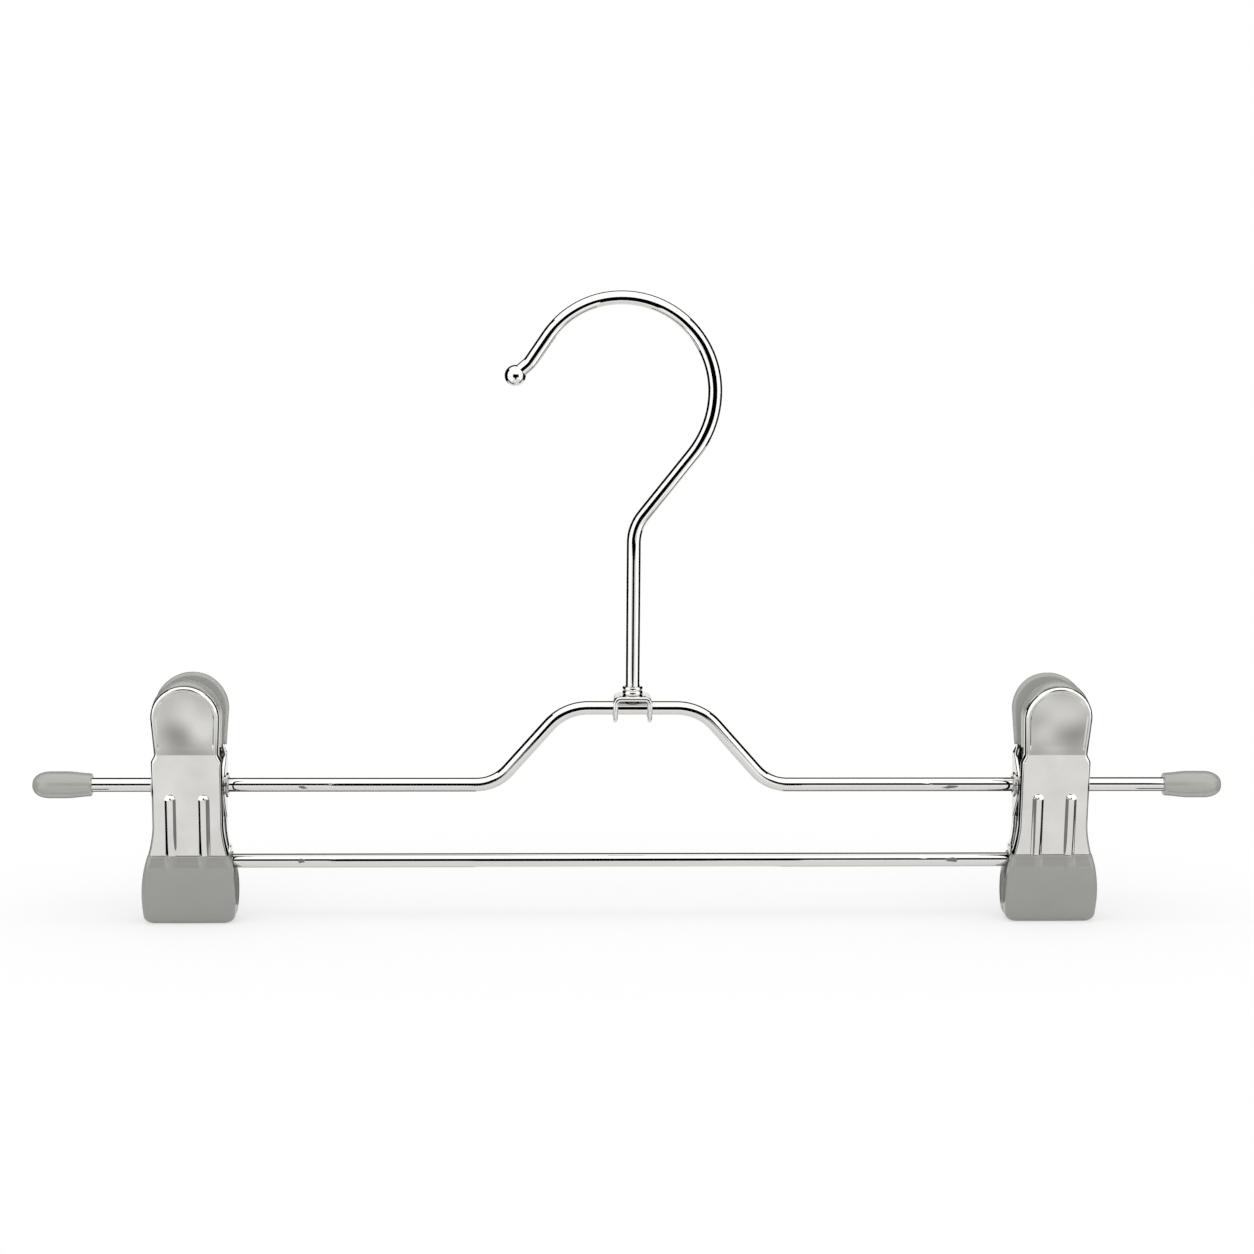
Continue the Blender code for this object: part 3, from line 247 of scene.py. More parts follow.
def add_surface(name, colour, relief, gloss, clouds=None, metal=True):
    """A material whose relief and gloss follow one noise.

    relief is the grain's size and height in mm, the strength and the noise's detail; gloss the
    least and greatest roughness; clouds the size in mm and the spread of an uneven colour."""
    grain_mm, height_mm, strength, detail = relief
    material = bpy.data.materials.new(name)
    material.use_nodes = True
    tree = material.node_tree
    shader = tree.nodes["Principled BSDF"]
    if metal:
        shader.inputs["Metallic"].default_value = 1.0
    grain = add_noise(tree, grain_mm, detail)
    bump = add_node(tree, "ShaderNodeBump",
                    inputs={"Strength": strength, "Distance": height_mm / 1000.0},
                    links={"Height": grain})
    tree.links.new(bump.outputs["Normal"], shader.inputs["Normal"])
    rough = add_node(tree, "ShaderNodeMapRange",
                     inputs={"From Min": 0.3, "From Max": 0.7, "To Min": gloss[0],
                             "To Max": gloss[1]}, links={"Value": grain})
    tree.links.new(rough.outputs["Result"], shader.inputs["Roughness"])
    if clouds:
        cloud_mm, spread = clouds
        dark, light = ((*(channel * tone for channel in linear_colour(colour)[:3]), 1.0)
                       for tone in (1 - spread, 1 + spread))
        tint = add_node(tree, "ShaderNodeMix", {"data_type": 'RGBA'}, {6: dark, 7: light},
                        {"Factor": add_noise(tree, cloud_mm, 2.0)})
        tree.links.new(tint.outputs[2], shader.inputs["Base Color"])
    elif colour:
        shader.inputs["Base Color"].default_value = linear_colour(colour)
    return material


def bright_chrome_on_drawn_wire(name, finishes):
    """Bright chromium over drawn steel wire: a mirror with a trace of drawing waviness."""
    rough = finishes.chrome_roughness
    return add_surface(name, finishes.chrome, (6.0, 0.004, 0.25, 2.0), (rough * 0.6, rough * 1.5))


def bright_chrome_on_stamped_sheet(name, finishes):
    """Bright chromium over stamped sheet: the die leaves long soft waves, handling dulls its gloss.

    Soft clouds in its colour are painted reflection, lighter and darker patches of the surround.
    """
    rough = finishes.chrome_roughness
    # The colour clouds are painted reflection: lighter and darker patches in the sheet's colour
    return add_surface(name, finishes.chrome, (7.0, 0.02, 0.5, 1.0), (rough, rough * 2.5),
                       (7.0, 0.14))


def fingered_chrome_on_pressed_pad(name, finishes):
    """The same plating on a finger pad: softer, since the dish is pressed and much handled.

    Its colour is painted reflection, darker and lighter patches for what the dish reflects.
    """
    rough = finishes.pad_roughness
    material = add_surface(name, None, (9.0, 0.06, 0.4, 0.0), (rough * 0.8, rough * 1.4))
    tree = material.node_tree
    place = add_node(tree, "ShaderNodeUVMap", {"uv_map": PAD_MAP})
    # The tone, from the grain and the patches, sets the painted reflection between the dark and the
    # light colour
    tone = tree.nodes["Noise Texture"].outputs["Fac"]
    for centre, size, sign in PAD_PAINTED_REFLECTIONS:
        spot = add_node(tree, "ShaderNodeMapping", {"vector_type": 'TEXTURE'},
                        inputs={"Location": (*centre, 0.0), "Scale": (*size, 1.0)},
                        links={"Vector": place.outputs["UV"]})
        round_spot = add_node(tree, "ShaderNodeTexGradient", {"gradient_type": 'SPHERICAL'},
                              links={"Vector": spot.outputs["Vector"]})
        soft = add_node(tree, "ShaderNodeMapRange", {"interpolation_type": 'SMOOTHSTEP'},
                        inputs={"To Max": sign}, links={"Value": round_spot.outputs["Fac"]})
        tone = add_node(tree, "ShaderNodeMath", {"operation": 'ADD'},
                        links={0: tone, 1: soft.outputs["Result"]}).outputs["Value"]
    tint = add_node(tree, "ShaderNodeMapRange", {"data_type": 'FLOAT_VECTOR'},
                    inputs={7: (0.0,) * 3, 8: (0.8,) * 3, 9: linear_colour(finishes.pad_dark)[:3],
                            10: linear_colour(finishes.pad_light)[:3]},
                    links={"Vector": tone})
    tree.links.new(tint.outputs["Vector"], tree.nodes["Principled BSDF"].inputs["Base Color"])
    return material


def oiled_drawn_spring_steel(name, finishes):
    """Drawn spring steel with a thin film of oil: dark satin with fine draw lines."""
    return add_surface(name, finishes.spring, (0.3, 0.003, 0.3, 2.0), (0.22, 0.38))


def soft_vinyl(name, colour, grain_mm, rough):
    """Plasticised PVC: a satin skin with a faint orange peel and slightly uneven colour."""
    material = add_surface(name, colour, (grain_mm, 0.004, 0.2, 0.0), (rough * 0.9, rough * 1.1),
                           (6.0, 0.045), metal=False)
    shader = material.node_tree.nodes["Principled BSDF"]
    shader.inputs["IOR"].default_value = 1.53
    shader.inputs["Specular IOR Level"].default_value = 0.65
    return material


def dipped_soft_grey_vinyl(name, finishes):
    """The shoes' vinyl, dipped hot over the jaws."""
    return soft_vinyl(name, finishes.vinyl, 0.8, finishes.vinyl_roughness)


def moulded_soft_grey_vinyl(name, finishes):
    """The lighter vinyl of the moulded grips and caps, with the mould's finer grain."""
    return soft_vinyl(name, finishes.vinyl_light, 0.6, finishes.vinyl_roughness)


# What a piece is finished with: the slot that it fills and the recipes of its materials
WIRE = ("chrome_plated_steel", bright_chrome_on_drawn_wire)
SHEET = ("chrome_plated_steel", bright_chrome_on_stamped_sheet)
JAW = (*SHEET, fingered_chrome_on_pressed_pad)
SPRING = ("spring_steel", oiled_drawn_spring_steel)
SHOE = ("grey_soft_vinyl", dipped_soft_grey_vinyl)
GRIP = ("grey_soft_vinyl", moulded_soft_grey_vinyl)


# Helpers for making pieces

def add_mesh(name, shape, materials):
    mesh = bpy.data.meshes.new(name)
    shape.to_mesh(mesh)
    shape.free()
    mesh.shade_smooth()
    for material in materials:
        mesh.materials.append(material)
    item = bpy.data.objects.new(name, mesh)
    bpy.context.scene.collection.objects.link(item)
    return item


def add_piece(name, shape, finish, body, node, sharp_from=40.0):
    """A finished piece at the origin that rides on a body and stands for a node of the model."""
    slot, *recipes = finish
    finishes = bpy.context.scene.hanger_finishes
    materials = [bpy.data.materials.get(recipe.__name__) or recipe(recipe.__name__, finishes)
                 for recipe in recipes]
    piece = add_mesh(name, shape, materials)
    piece.data.set_sharp_from_angle(angle=radians(sharp_from))
    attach(piece, body)
    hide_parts(node)
    return piece


def face_outwards(shape):
    bmesh.ops.recalc_face_normals(shape, faces=shape.faces)
    return shape


def weld(shape, distance=WELD):
    bmesh.ops.remove_doubles(shape, verts=shape.verts, dist=distance)
    return face_outwards(shape)


def close_ends(shape):
    edges = [edge for edge in shape.edges if edge.is_boundary]
    bmesh.ops.holes_fill(shape, edges=edges, sides=0)


def verts_of(geometry):
    return [item for item in geometry if isinstance(item, bmesh.types.BMVert)]


def edges_between(verts):
    inside = set(verts)
    return list(dict.fromkeys(edge for vert in verts for edge in vert.link_edges
                              if edge.other_vert(vert) in inside))


def add_ring(shape, sides, radius, place):
    """An open ring, as its vertices and then its edges."""
    verts = bmesh.ops.create_circle(shape, cap_ends=False, segments=sides, radius=radius,
                                    matrix=place)["verts"]
    return verts + edges_between(verts)


def draw_ring(shape, ring, step):
    """Draws an open ring on by a step, and gives the ring at its new end."""
    edges = [item for item in ring if isinstance(item, bmesh.types.BMEdge)]
    verts = verts_of(bmesh.ops.extrude_edge_only(shape, edges=edges)["geom"])
    bmesh.ops.translate(shape, verts=verts, vec=step)
    return verts + edges_between(verts)


def thicken(shape, step):
    """Gives a flat blank the thickness of its sheet."""
    made = bmesh.ops.extrude_face_region(shape, geom=shape.faces[:])["geom"]
    bmesh.ops.translate(shape, verts=verts_of(made), vec=step)
    return face_outwards(shape)


class WireBender:
    """Forms a round wire in the X-Z plane the way a bender does: straight runs and bends."""
    near_end = 0.0003

    def __init__(self, x, z, heading, diameter):
        self.shape = bmesh.new()
        self.point = Vector((x, 0, z))
        self.heading = heading
        turn = Matrix.Rotation(pi / 2 - heading, 4, 'Y')
        self.ring = add_ring(self.shape, WIRE_SIDES, diameter / 2,
                             Matrix.Translation(self.point) @ turn)

    def along(self):
        return Vector((cos(self.heading), 0, sin(self.heading)))

    def form(self, *steps):
        """Takes each step in turn: a length to run straight, or a bend's radius and angle."""
        for step in steps:
            if isinstance(step, tuple):
                self.bend(*step)
            else:
                self.run(step)

    def run(self, length):
        """A straight run, with a ring close to each end that keeps its shading straight."""
        near = self.near_end
        for span in (near, length - 2 * near, near) if length > 4 * near else (length,):
            self.ring = draw_ring(self.shape, self.ring, self.along() * span)
            self.point += self.along() * span

    def bend(self, radius, angle):
        side = 1.0 if angle > 0 else -1.0
        left = Vector((-sin(self.heading), 0, cos(self.heading)))
        centre = self.point + left * radius * side
        steps = max(2, round(abs(angle) / BEND_STEP))
        self.ring = bmesh.ops.spin(self.shape, geom=self.ring, cent=centre, axis=(0, -1, 0),
                                   angle=angle, steps=steps)["geom_last"]
        self.point = centre + Matrix.Rotation(-angle, 3, 'Y') @ (self.point - centre)
        self.heading += angle

    def finish(self):
        close_ends(self.shape)
        return face_outwards(self.shape)


def turned(profile, steps=48):
    """A (radius, height) profile turned about Z into a closed shape."""
    shape = bmesh.new()
    ring = [shape.verts.new((radius, 0, height)) for radius, height in profile]
    edges = [shape.edges.new(pair) for pair in zip(ring, ring[1:] + ring[:1])
             if pair[0].co.x > 0 or pair[1].co.x > 0]
    bmesh.ops.spin(shape, geom=ring + edges, cent=(0, 0, 0), axis=(0, 0, 1),
                   angle=2 * pi, steps=steps, use_merge=True)
    return weld(shape, TURNED_WELD)


def rounded(points, radius, steps=5):
    """A closed profile of (radius, height) points with its corners rounded.

    Each point is (x, z, share): the share of the radius that its corner gets."""
    path = []
    count = len(points)
    for index, (x, z, share) in enumerate(points):
        if share <= 0:
            path.append((x, z))
            continue
        corner = Vector((x, z))
        before = Vector(points[index - 1][:2]) - corner
        after = Vector(points[(index + 1) % count][:2]) - corner
        inward, onward = before.normalized(), after.normalized()
        slope = tan((pi - inward.angle(onward)) / 2)
        reach = min(radius * share * slope, before.length * 0.49, after.length * 0.49)
        size = reach / slope
        centre = corner + (inward + onward).normalized() * hypot(size, reach)
        start, end = corner + inward * reach - centre, corner + onward * reach - centre
        for step in range(steps + 1):
            spot = start.slerp(end, step / steps) * size
            path.append((centre.x + spot.x, centre.y + spot.y))
    return path


def along_x(shape, node, height, side=1.0, shift=0.0):
    """Lays a shape turned about Z along X, from the end of a node's box towards side."""
    low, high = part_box(node)
    foot = (low.x if side > 0 else high.x) + side * shift
    place = Matrix.Translation((foot, 0, height)) @ Matrix.Rotation(side * pi / 2, 4, 'Y')
    bmesh.ops.transform(shape, matrix=place, verts=shape.verts)
    return weld(shape)


def mapped_grid(columns, rows, place):
    """A grid of mesh whose points are placed by a function of its column and row."""
    shape = bmesh.new()
    bmesh.ops.create_grid(shape, x_segments=columns, y_segments=rows, size=0.5)
    for vert in shape.verts:
        vert.co = place(round((vert.co.x + 0.5) * columns), round((vert.co.y + 0.5) * rows))
    return shape


def lofted(rings):
    """A skin over rings that all have as many points, closed at its first and last ring."""
    count = len(rings[0])
    shape = mapped_grid(count, len(rings) - 1, lambda column, row: rings[row][column % count])
    bmesh.ops.remove_doubles(shape, verts=shape.verts, dist=FINE_WELD)
    close_ends(shape)
    return shape


def quarter(steps):
    """The angles of a quarter turn, from 0 up, in that many steps."""
    return [pi / 2 * step / steps for step in range(steps + 1)]


def clamp(value):
    return max(0.0, min(1.0, value))


def ease(value):
    value = clamp(value)
    return value * value * (3.0 - 2.0 * value)


def ramp(value, blend):
    """A straight rise from 0 to 1 whose two ends are blended over a share of its length."""
    value = clamp(value)
    steep = 1.0 / (1.0 - blend)
    if value < blend:
        return steep * value ** 2 / (2 * blend)
    if value > 1.0 - blend:
        return 1.0 - steep * (1.0 - value) ** 2 / (2 * blend)
    return steep * (value - blend / 2)


# Hook, swivel and frame

class OBJECT_OT_hanger_hook(bpy.types.Operator):
    """Bend the hook wire and press the ball on its tip"""
    bl_idname = "object.hanger_hook"
    bl_label = "Hook"

    def execute(self, context):
        wires = context.scene.hanger_wires
        slant = wires.slant
        inner = wires.arc_radius - wires.diameter / 2
        centre_z = -sqrt(inner ** 2 - wires.arc_offset ** 2)
        slant_x = (wires.arc_radius - wires.arc_offset
                   - wires.shoulder_radius * (1 - cos(slant)))
        corner_z = (centre_z - wires.shoulder_radius * sin(slant)
                    - slant_x / tan(slant))
        reach = wires.stem_bend * tan(slant / 2)
        tip_reach = wires.tip_bend * tan(wires.tip_turn / 2)
        bender = WireBender(0.0, STEM_FOOT, pi / 2, wires.diameter)
        bender.form(corner_z - STEM_FOOT - reach, (wires.stem_bend, -slant),
                    slant_x / sin(slant) - reach, (wires.shoulder_radius, slant),
                    (wires.arc_radius, wires.tip_start),
                    (wires.tip_radius, wires.arc_end - wires.tip_start),
                    wires.tip_run - tip_reach, (wires.tip_bend, -wires.tip_turn))
        neck = bender.along()
        ball_centre = bender.point + neck * (wires.tip_neck - tip_reach)
        bender.run(wires.tip_neck - tip_reach - wires.ball_radius / 2)
        add_piece("bent_hook_wire", bender.finish(), WIRE, "hook", "hook_wire")

        ball = bmesh.new()
        bmesh.ops.create_uvsphere(ball, u_segments=48, v_segments=32, radius=wires.ball_radius)
        upright = Vector((0, 0, 1)).rotation_difference(neck).to_matrix().to_4x4()
        bmesh.ops.transform(ball, matrix=Matrix.Translation(ball_centre) @ upright,
                            verts=ball.verts)
        add_piece("pressed_tip_ball", face_outwards(ball), WIRE, "hook", "hook_tip_ball")
        return {'FINISHED'}


class OBJECT_OT_hanger_swivel(bpy.types.Operator):
    """Roll the two-beaded ferrule and fold the saddle"""
    bl_idname = "object.hanger_swivel"
    bl_label = "Swivel and saddle"

    def execute(self, context):
        wires = context.scene.hanger_wires
        add_piece("rolled_swivel_ferrule", self.ferrule_shape(wires), WIRE, "frame",
                  "swivel_ferrule", 50.0)
        add_piece("folded_saddle", self.saddle_shape(wires), SHEET, "frame", "hook_saddle")
        return {'FINISHED'}

    def ferrule_shape(self, wires):
        """Two beads on the saddle's plate, and the rivet under them that goes through it."""
        low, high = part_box("swivel_ferrule")
        rivet, bead_height, shorter, gap = 0.0014, 0.00024, 0.00042, 0.00002
        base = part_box("hook_saddle")[1].z + wires.saddle_lift + gap
        top = high.z - shorter
        waist = (high.x - low.x) / 2 - bead_height
        bore = wires.diameter / 2 + wires.play / 2
        profile = [(bore, top), (bore, base), (0.0, base), (0.0, low.z), (rivet, low.z),
                   (rivet, base), (waist, base)]
        half = (top - base) / 4
        for middle in (base + half, top - half):
            for step in range(1, 12):
                turn = -pi / 2 + pi * step / 12
                profile.append((waist + bead_height * cos(turn),
                                middle + half * sin(turn)))
        return turned(profile + [(waist, top)])

    def saddle_shape(self, wires):
        """A flat blank with rolled edges and its three holes, folded down at both sides."""
        low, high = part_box("hook_saddle")
        sheet, fold = wires.saddle_sheet, wires.saddle_fold
        rivet_hole, roll, fold_steps, near_fold = 0.00165, 0.47, 12, 0.00015
        top = high.z + wires.saddle_lift
        flat = high.x - fold
        ear = flat + fold * pi / 2
        eye = ear + top - fold - (low.z + high.y)
        ends = [(eye + high.y * cos(turn), high.y * sin(turn))
                for turn in (radians(7.5 * step) for step in range(-12, 13))]
        blank = bmesh.new()
        verts = [blank.verts.new((x, y, 0.0)) for x, y in ends + [(-x, -y) for x, y in ends]]
        edges = [blank.edges.new(pair) for pair in zip(verts, verts[1:] + verts[:1])]
        wire_hole = wires.diameter / 2 + wires.play
        for x, radius in ((eye, wire_hole), (0.0, rivet_hole), (-eye, wire_hole)):
            ring = add_ring(blank, 36, radius, Matrix.Translation((x, 0, 0)))
            edges += edges_between(verts_of(ring))
        bmesh.ops.triangle_fill(blank, use_beauty=True, use_dissolve=False, edges=edges)
        bmesh.ops.dissolve_limit(blank, angle_limit=radians(1.0), verts=blank.verts,
                                 edges=[edge for edge in blank.edges if not edge.is_boundary])
        thicken(blank, (0, 0, -sheet))
        rims = [edge for edge in blank.edges if edge.calc_face_angle(0.0) > 1.0]
        bmesh.ops.bevel(blank, geom=rims, affect='EDGES', offset=sheet * roll, segments=6,
                        profile=0.5, material=-1)
        cuts = [flat - near_fold, ear + near_fold]
        cuts += [flat + (ear - flat) * step / fold_steps for step in range(fold_steps + 1)]
        for cut in cuts + [-cut for cut in cuts]:
            bmesh.ops.bisect_plane(blank, geom=blank.verts[:] + blank.edges[:] + blank.faces[:],
                                   plane_co=(cut, 0, 0), plane_no=(1, 0, 0), dist=0.0000001)
        for vert in blank.verts:
            along, side = abs(vert.co.x), copysign(1.0, vert.co.x)
            turn = max(0.0, min(along - flat, ear - flat)) / fold
            depth = fold + vert.co.z
            vert.co.x = side * (min(along, flat) + depth * sin(turn))
            vert.co.z = top - fold + depth * cos(turn) - max(0.0, along - ear)
        return face_outwards(blank)


class OBJECT_OT_hanger_frame(bpy.types.Operator):
    """Bend the frame wire"""
    bl_idname = "object.hanger_frame"
    bl_label = "Frame wire"

    def execute(self, context):
        wires = context.scene.hanger_wires
        slope = wires.frame_slope
        lower = wires.lower_bend * tan(slope / 2)
        upper = wires.upper_bend * tan(slope / 2)
        arm = wires.frame_end - wires.frame_corner - lower
        slanted = wires.frame_rise / sin(slope) - lower - upper
        middle = 2 * (wires.frame_corner - wires.frame_rise / tan(slope) - upper)
        bender = WireBender(-wires.frame_end, ARM_HEIGHT, 0.0, wires.diameter)
        bender.form(arm, (wires.lower_bend, slope), slanted, (wires.upper_bend, -slope), middle,
                    (wires.upper_bend, -slope), slanted, (wires.lower_bend, slope), arm)
        add_piece("bent_frame_wire", bender.finish(), WIRE, "frame", "frame_wire")
        return {'FINISHED'}


class OBJECT_OT_hanger_end_caps(bpy.types.Operator):
    """Mould the two soft end caps"""
    bl_idname = "object.hanger_end_caps"
    bl_label = "End caps"

    def execute(self, context):
        grip, narrowing, lip, blunt, wall = 0.00002, 0.0005, 0.0003, 0.00008, 0.002
        barrel_share, swell_share, roundness = 0.70, 0.62, 0.78
        bore = context.scene.hanger_wires.diameter / 2 + grip
        for hand, inward in HANDS:
            node = hand + "_end_cap"
            low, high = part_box(node)
            length = high.x - low.x
            full = (high.z - low.z) / 2
            mouth = full - narrowing
            profile = [(bore, 0.0), (mouth - lip, 0.0), (mouth - blunt, blunt), (mouth, lip)]
            for along in (step / 20 for step in range(1, 20)):
                profile.append((mouth + narrowing * ease(along / swell_share),
                                length * barrel_share * along))
            nose = length * (1 - barrel_share)
            for turn in quarter(16)[:-1]:
                profile.append((full * cos(turn) ** roundness,
                                length - nose + nose * sin(turn)))
            profile += [(0.0, length), (0.0, length - wall), (bore, length - wall)]
            add_piece(hand + "_moulded_end_cap",
                      along_x(turned(profile), node, ARM_HEIGHT, -inward), GRIP, "frame", node)
        return {'FINISHED'}


class OBJECT_OT_hanger_bar(bpy.types.Operator):
    """Draw the bar's tube and its two inner rods"""
    bl_idname = "object.hanger_bar"
    bl_label = "Telescopic bar"

    def execute(self, context):
        low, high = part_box("bar_tube")
        outer = context.scene.hanger_wires.diameter / 2
        bore, reach, end, rod, rounding = 0.0013, 0.0011, 0.0008, 0.0011, 0.0003
        length = high.x - low.x + 2 * reach
        corners = [(bore, 0.0, 0.4), (outer, 0.0, 1.0), (outer, end, 0.0),
                   (outer, length - end, 0.0), (outer, length, 1.0), (bore, length, 0.4)]
        tube = along_x(turned(rounded(corners, rounding, 4)), "bar_tube", BAR_HEIGHT,
                       shift=-reach)
        add_piece("drawn_bar_tube", tube, WIRE, "trouser_bar", "bar_tube")
        for hand, inward in HANDS:
            node = hand + "_bar_rod"
            low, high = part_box(node)
            length = high.x - low.x
            head = (high.z - low.z) / 2
            corners = [(0.0, 0.0, 0.0), (head, 0.0, 1.0), (head, end, 0.6), (rod, end, 0.0),
                       (rod, 2 * end, 0.0), (rod, length - end, 0.0), (rod, length, 1.0),
                       (0.0, length, 0.0)]
            shape = turned(rounded(corners, rounding - 0.00005, 4), 32)
            along_x(shape, node, BAR_HEIGHT, inward)
            add_piece(hand + "_headed_bar_rod", shape, WIRE, hand + "_clip", node)
        return {'FINISHED'}


# Clips

class ClipHalf:
    """One half of a clip. Its pieces are made round the pivot as front ones."""

    def __init__(self, hand, inward, end):
        self.hand = hand
        self.inward = inward
        self.end = end
        self.rear = end == "rear"
        self.mirror = -1.0 if self.rear else 1.0
        self.pivot = node_middle(hand + "_pivot_eyelet")

    def mirrored(self, shape):
        """Mirrors a piece's shape if this is a rear half."""
        bmesh.ops.scale(shape, vec=(1, self.mirror, 1), verts=shape.verts)
        return face_outwards(shape)

    def add(self, process, kind, shape, finish, sharp_from=40.0):
        """Moves a mirrored shape to the pivot and adds it as this half's piece of a kind."""
        bmesh.ops.translate(shape, verts=shape.verts, vec=self.pivot)
        return add_piece(f"{self.hand}_{process}_{self.end}_{kind}", shape, finish,
                         self.hand + ("_clip" if self.rear else "_front"),
                         f"{self.hand}_{self.end}_{kind}", sharp_from)

    def shoe_drop(self, sizes):
        """How much lower than the front shoe's the top of this half's shoe is."""
        return sizes.rear_drop if self.rear else 0.0


def clip_halves():
    return [ClipHalf(hand, inward, end) for hand, inward in HANDS for end in ("front", "rear")]


class JawForm:
    """The stamped form of a jaw, in its clip's own frame with the pivot at the origin."""
    stand = 0.00587
    tongue_stand = 0.0027
    tongue_drop = 0.0328
    flare_start = 0.0092
    flare_power = 1.7
    shoulder = 0.0067
    ear_radius = 0.0036
    ear_foot = 0.0090
    edge_bend = 0.0011
    rib_round = 1.1
    dish_half = (0.0068, 0.0098)
    dish_lift = 0.0015
    recess_wall = 0.00044
    recess_fade = 0.0035
    flange_gap = 0.0004
    pad_facing = 0.955
    flat_columns = 60
    bend_columns = 9
    flange_columns = 8
    rim_rows = 40

    def __init__(self, sizes, joggled, lower=0.0):
        self.sizes = sizes
        self.joggled = joggled
        self.flange_end = sizes.shoe_top + lower - CLEARANCE
        self.lean = (self.stand - self.tongue_stand) / self.tongue_drop
        self.flange = self.stand - self.ear_radius - self.flange_gap
        self.pad_half = sizes.pad_width / 2
        self.arc_rise = sizes.pad_rise - self.pad_half
        self.waist = sizes.waist / 2
        self.inner_ear = self.waist - sizes.sheet - CLEARANCE

    def front(self, height):
        bend = self.sizes.bend_rise
        slope = tan(self.sizes.pad_lean)
        return (self.stand + self.lean * min(height, bend)
                + slope * max(0.0, height - bend))

    def half_width(self, height):
        sizes = self.sizes
        if height < -self.flare_start:
            share = min(1.0, (-height - self.flare_start) / (self.flange_end - self.flare_start))
            return self.waist + (sizes.flare / 2 - self.waist) * share ** self.flare_power
        notch = self.pad_half - sizes.bend_notch
        if height <= sizes.bend_rise:
            share = ease((height - self.shoulder) / (sizes.bend_rise - self.shoulder))
            return self.waist + (notch - self.waist) * share
        share = min(1.0, (height - sizes.bend_rise) / (self.arc_rise - sizes.bend_rise))
        return notch + (self.pad_half - notch) * share

    def ear_limit(self, height):
        return self.sizes.bend_rise if height > 0 else self.ear_foot

    def free_edge(self, height):
        """How far behind the pivot the flange ends: round the eyelet, then straight."""
        corner = self.ear_radius * sqrt(0.5)
        if abs(height) <= corner:
            return sqrt(self.ear_radius ** 2 - height ** 2)
        limit = self.ear_limit(height)
        if abs(height) >= limit:
            return self.flange - self.front(height)
        low = self.flange - self.front(copysign(limit, height))
        return corner + (low - corner) * (abs(height) - corner) / (limit - corner)

    def joggle(self, height):
        """How much of its step inwards a front ear makes at that height."""
        if not self.joggled:
            return 0.0
        limit = self.ear_limit(height)
        full = min(self.shoulder, limit * 0.75)
        return clamp((limit - abs(height)) / (limit - full))

    def rib(self, x, height):
        """Height of a pressed rib: a round crown, straight flanks and a soft foot."""
        sizes = self.sizes
        radius = sizes.rib_width / 2
        crown = radius / self.rib_round
        away = abs(abs(x) - sizes.rib_spacing / 2)
        past = max(0.0, height + sizes.rib_top + radius)
        reach = hypot(away, past) / crown
        steep, knee, foot, end = tan(sizes.rib_flank), 0.62, 0.92, self.rib_round
        lift = steep * max(0.0, min(end - foot, end - reach)) ** 2 / (2 * (end - foot))
        lift += steep * max(0.0, foot - max(reach, knee))
        lift += steep * max(0.0, knee ** 2 - reach ** 2) / (2 * knee)
        return crown * lift

    def sink(self, x, height, inset):
        """How deep a pad is dished, and pressed in inside its rolled rim at that inset."""
        sizes = self.sizes
        middle = (self.arc_rise + sizes.bend_rise) / 2 + self.dish_lift
        reach = hypot(x / self.dish_half[0], (height - middle) / self.dish_half[1])
        wall = ramp((inset - self.edge_bend - 0.00005) / self.recess_wall, 0.25)
        return (sizes.pad_dish * ease(1.0 - reach)
                + sizes.pad_recess * wall * ease((height - sizes.bend_rise) / self.recess_fade))

    def crowd(self, share, flat):
        """Spreads the flat columns: closest at the ribs and at the wall of the pad's recess."""
        inner, outer = ((self.sizes.rib_spacing + side * self.sizes.rib_width) / 2 + side * 0.0001
                        for side in (-1, 1))
        stops = ((0.0, 0.0), (0.12, inner), (0.72, outer), (0.80, flat - 0.0006), (1.0, flat))
        for (low, start), (high, end) in zip(stops, stops[1:]):
            if share <= high:
                return (start + (end - start) * (share - low) / (high - low)) / flat
        return 1.0

    def section(self, height, column):
        """(half-width, depth behind the outer face) of a column at a height."""
        half = self.half_width(height)
        flat = half - self.edge_bend
        if column <= self.flat_columns:
            return flat * self.crowd(column / self.flat_columns, flat), 0.0
        column -= self.flat_columns
        if column <= self.bend_columns:
            turn = pi / 2 * column / self.bend_columns
            return (flat + self.edge_bend * sin(turn),
                    self.edge_bend * (1 - cos(turn)))
        share = (column - self.bend_columns) / self.flange_columns
        reach = self.front(height) + self.free_edge(height)
        depth = self.edge_bend + (reach - self.edge_bend) * share
        inset = self.joggle(height) * (half - self.inner_ear)
        start = (self.edge_bend + self.flange) / 2 * 0.7
        return half - inset * ease((depth - start) / (self.stand - self.ear_radius - start)), depth

    def levels(self):
        bend = self.sizes.bend_rise
        spans = ((-self.tongue_drop, -self.flange_end - 0.0001, 6), (-self.flange_end, -0.004, 74),
                 (-0.004, 0.0, 24), (0.0, self.shoulder, 20), (self.shoulder, bend, 14),
                 (bend, self.arc_rise, 30))
        return [low + (high - low) * step / count for low, high, count in spans
                for step in range(count)] + [self.arc_rise]

    def shape(self):
        levels = self.levels()
        half_columns = self.flat_columns + self.bend_columns + self.flange_columns
        body_rows = len(levels) - 1

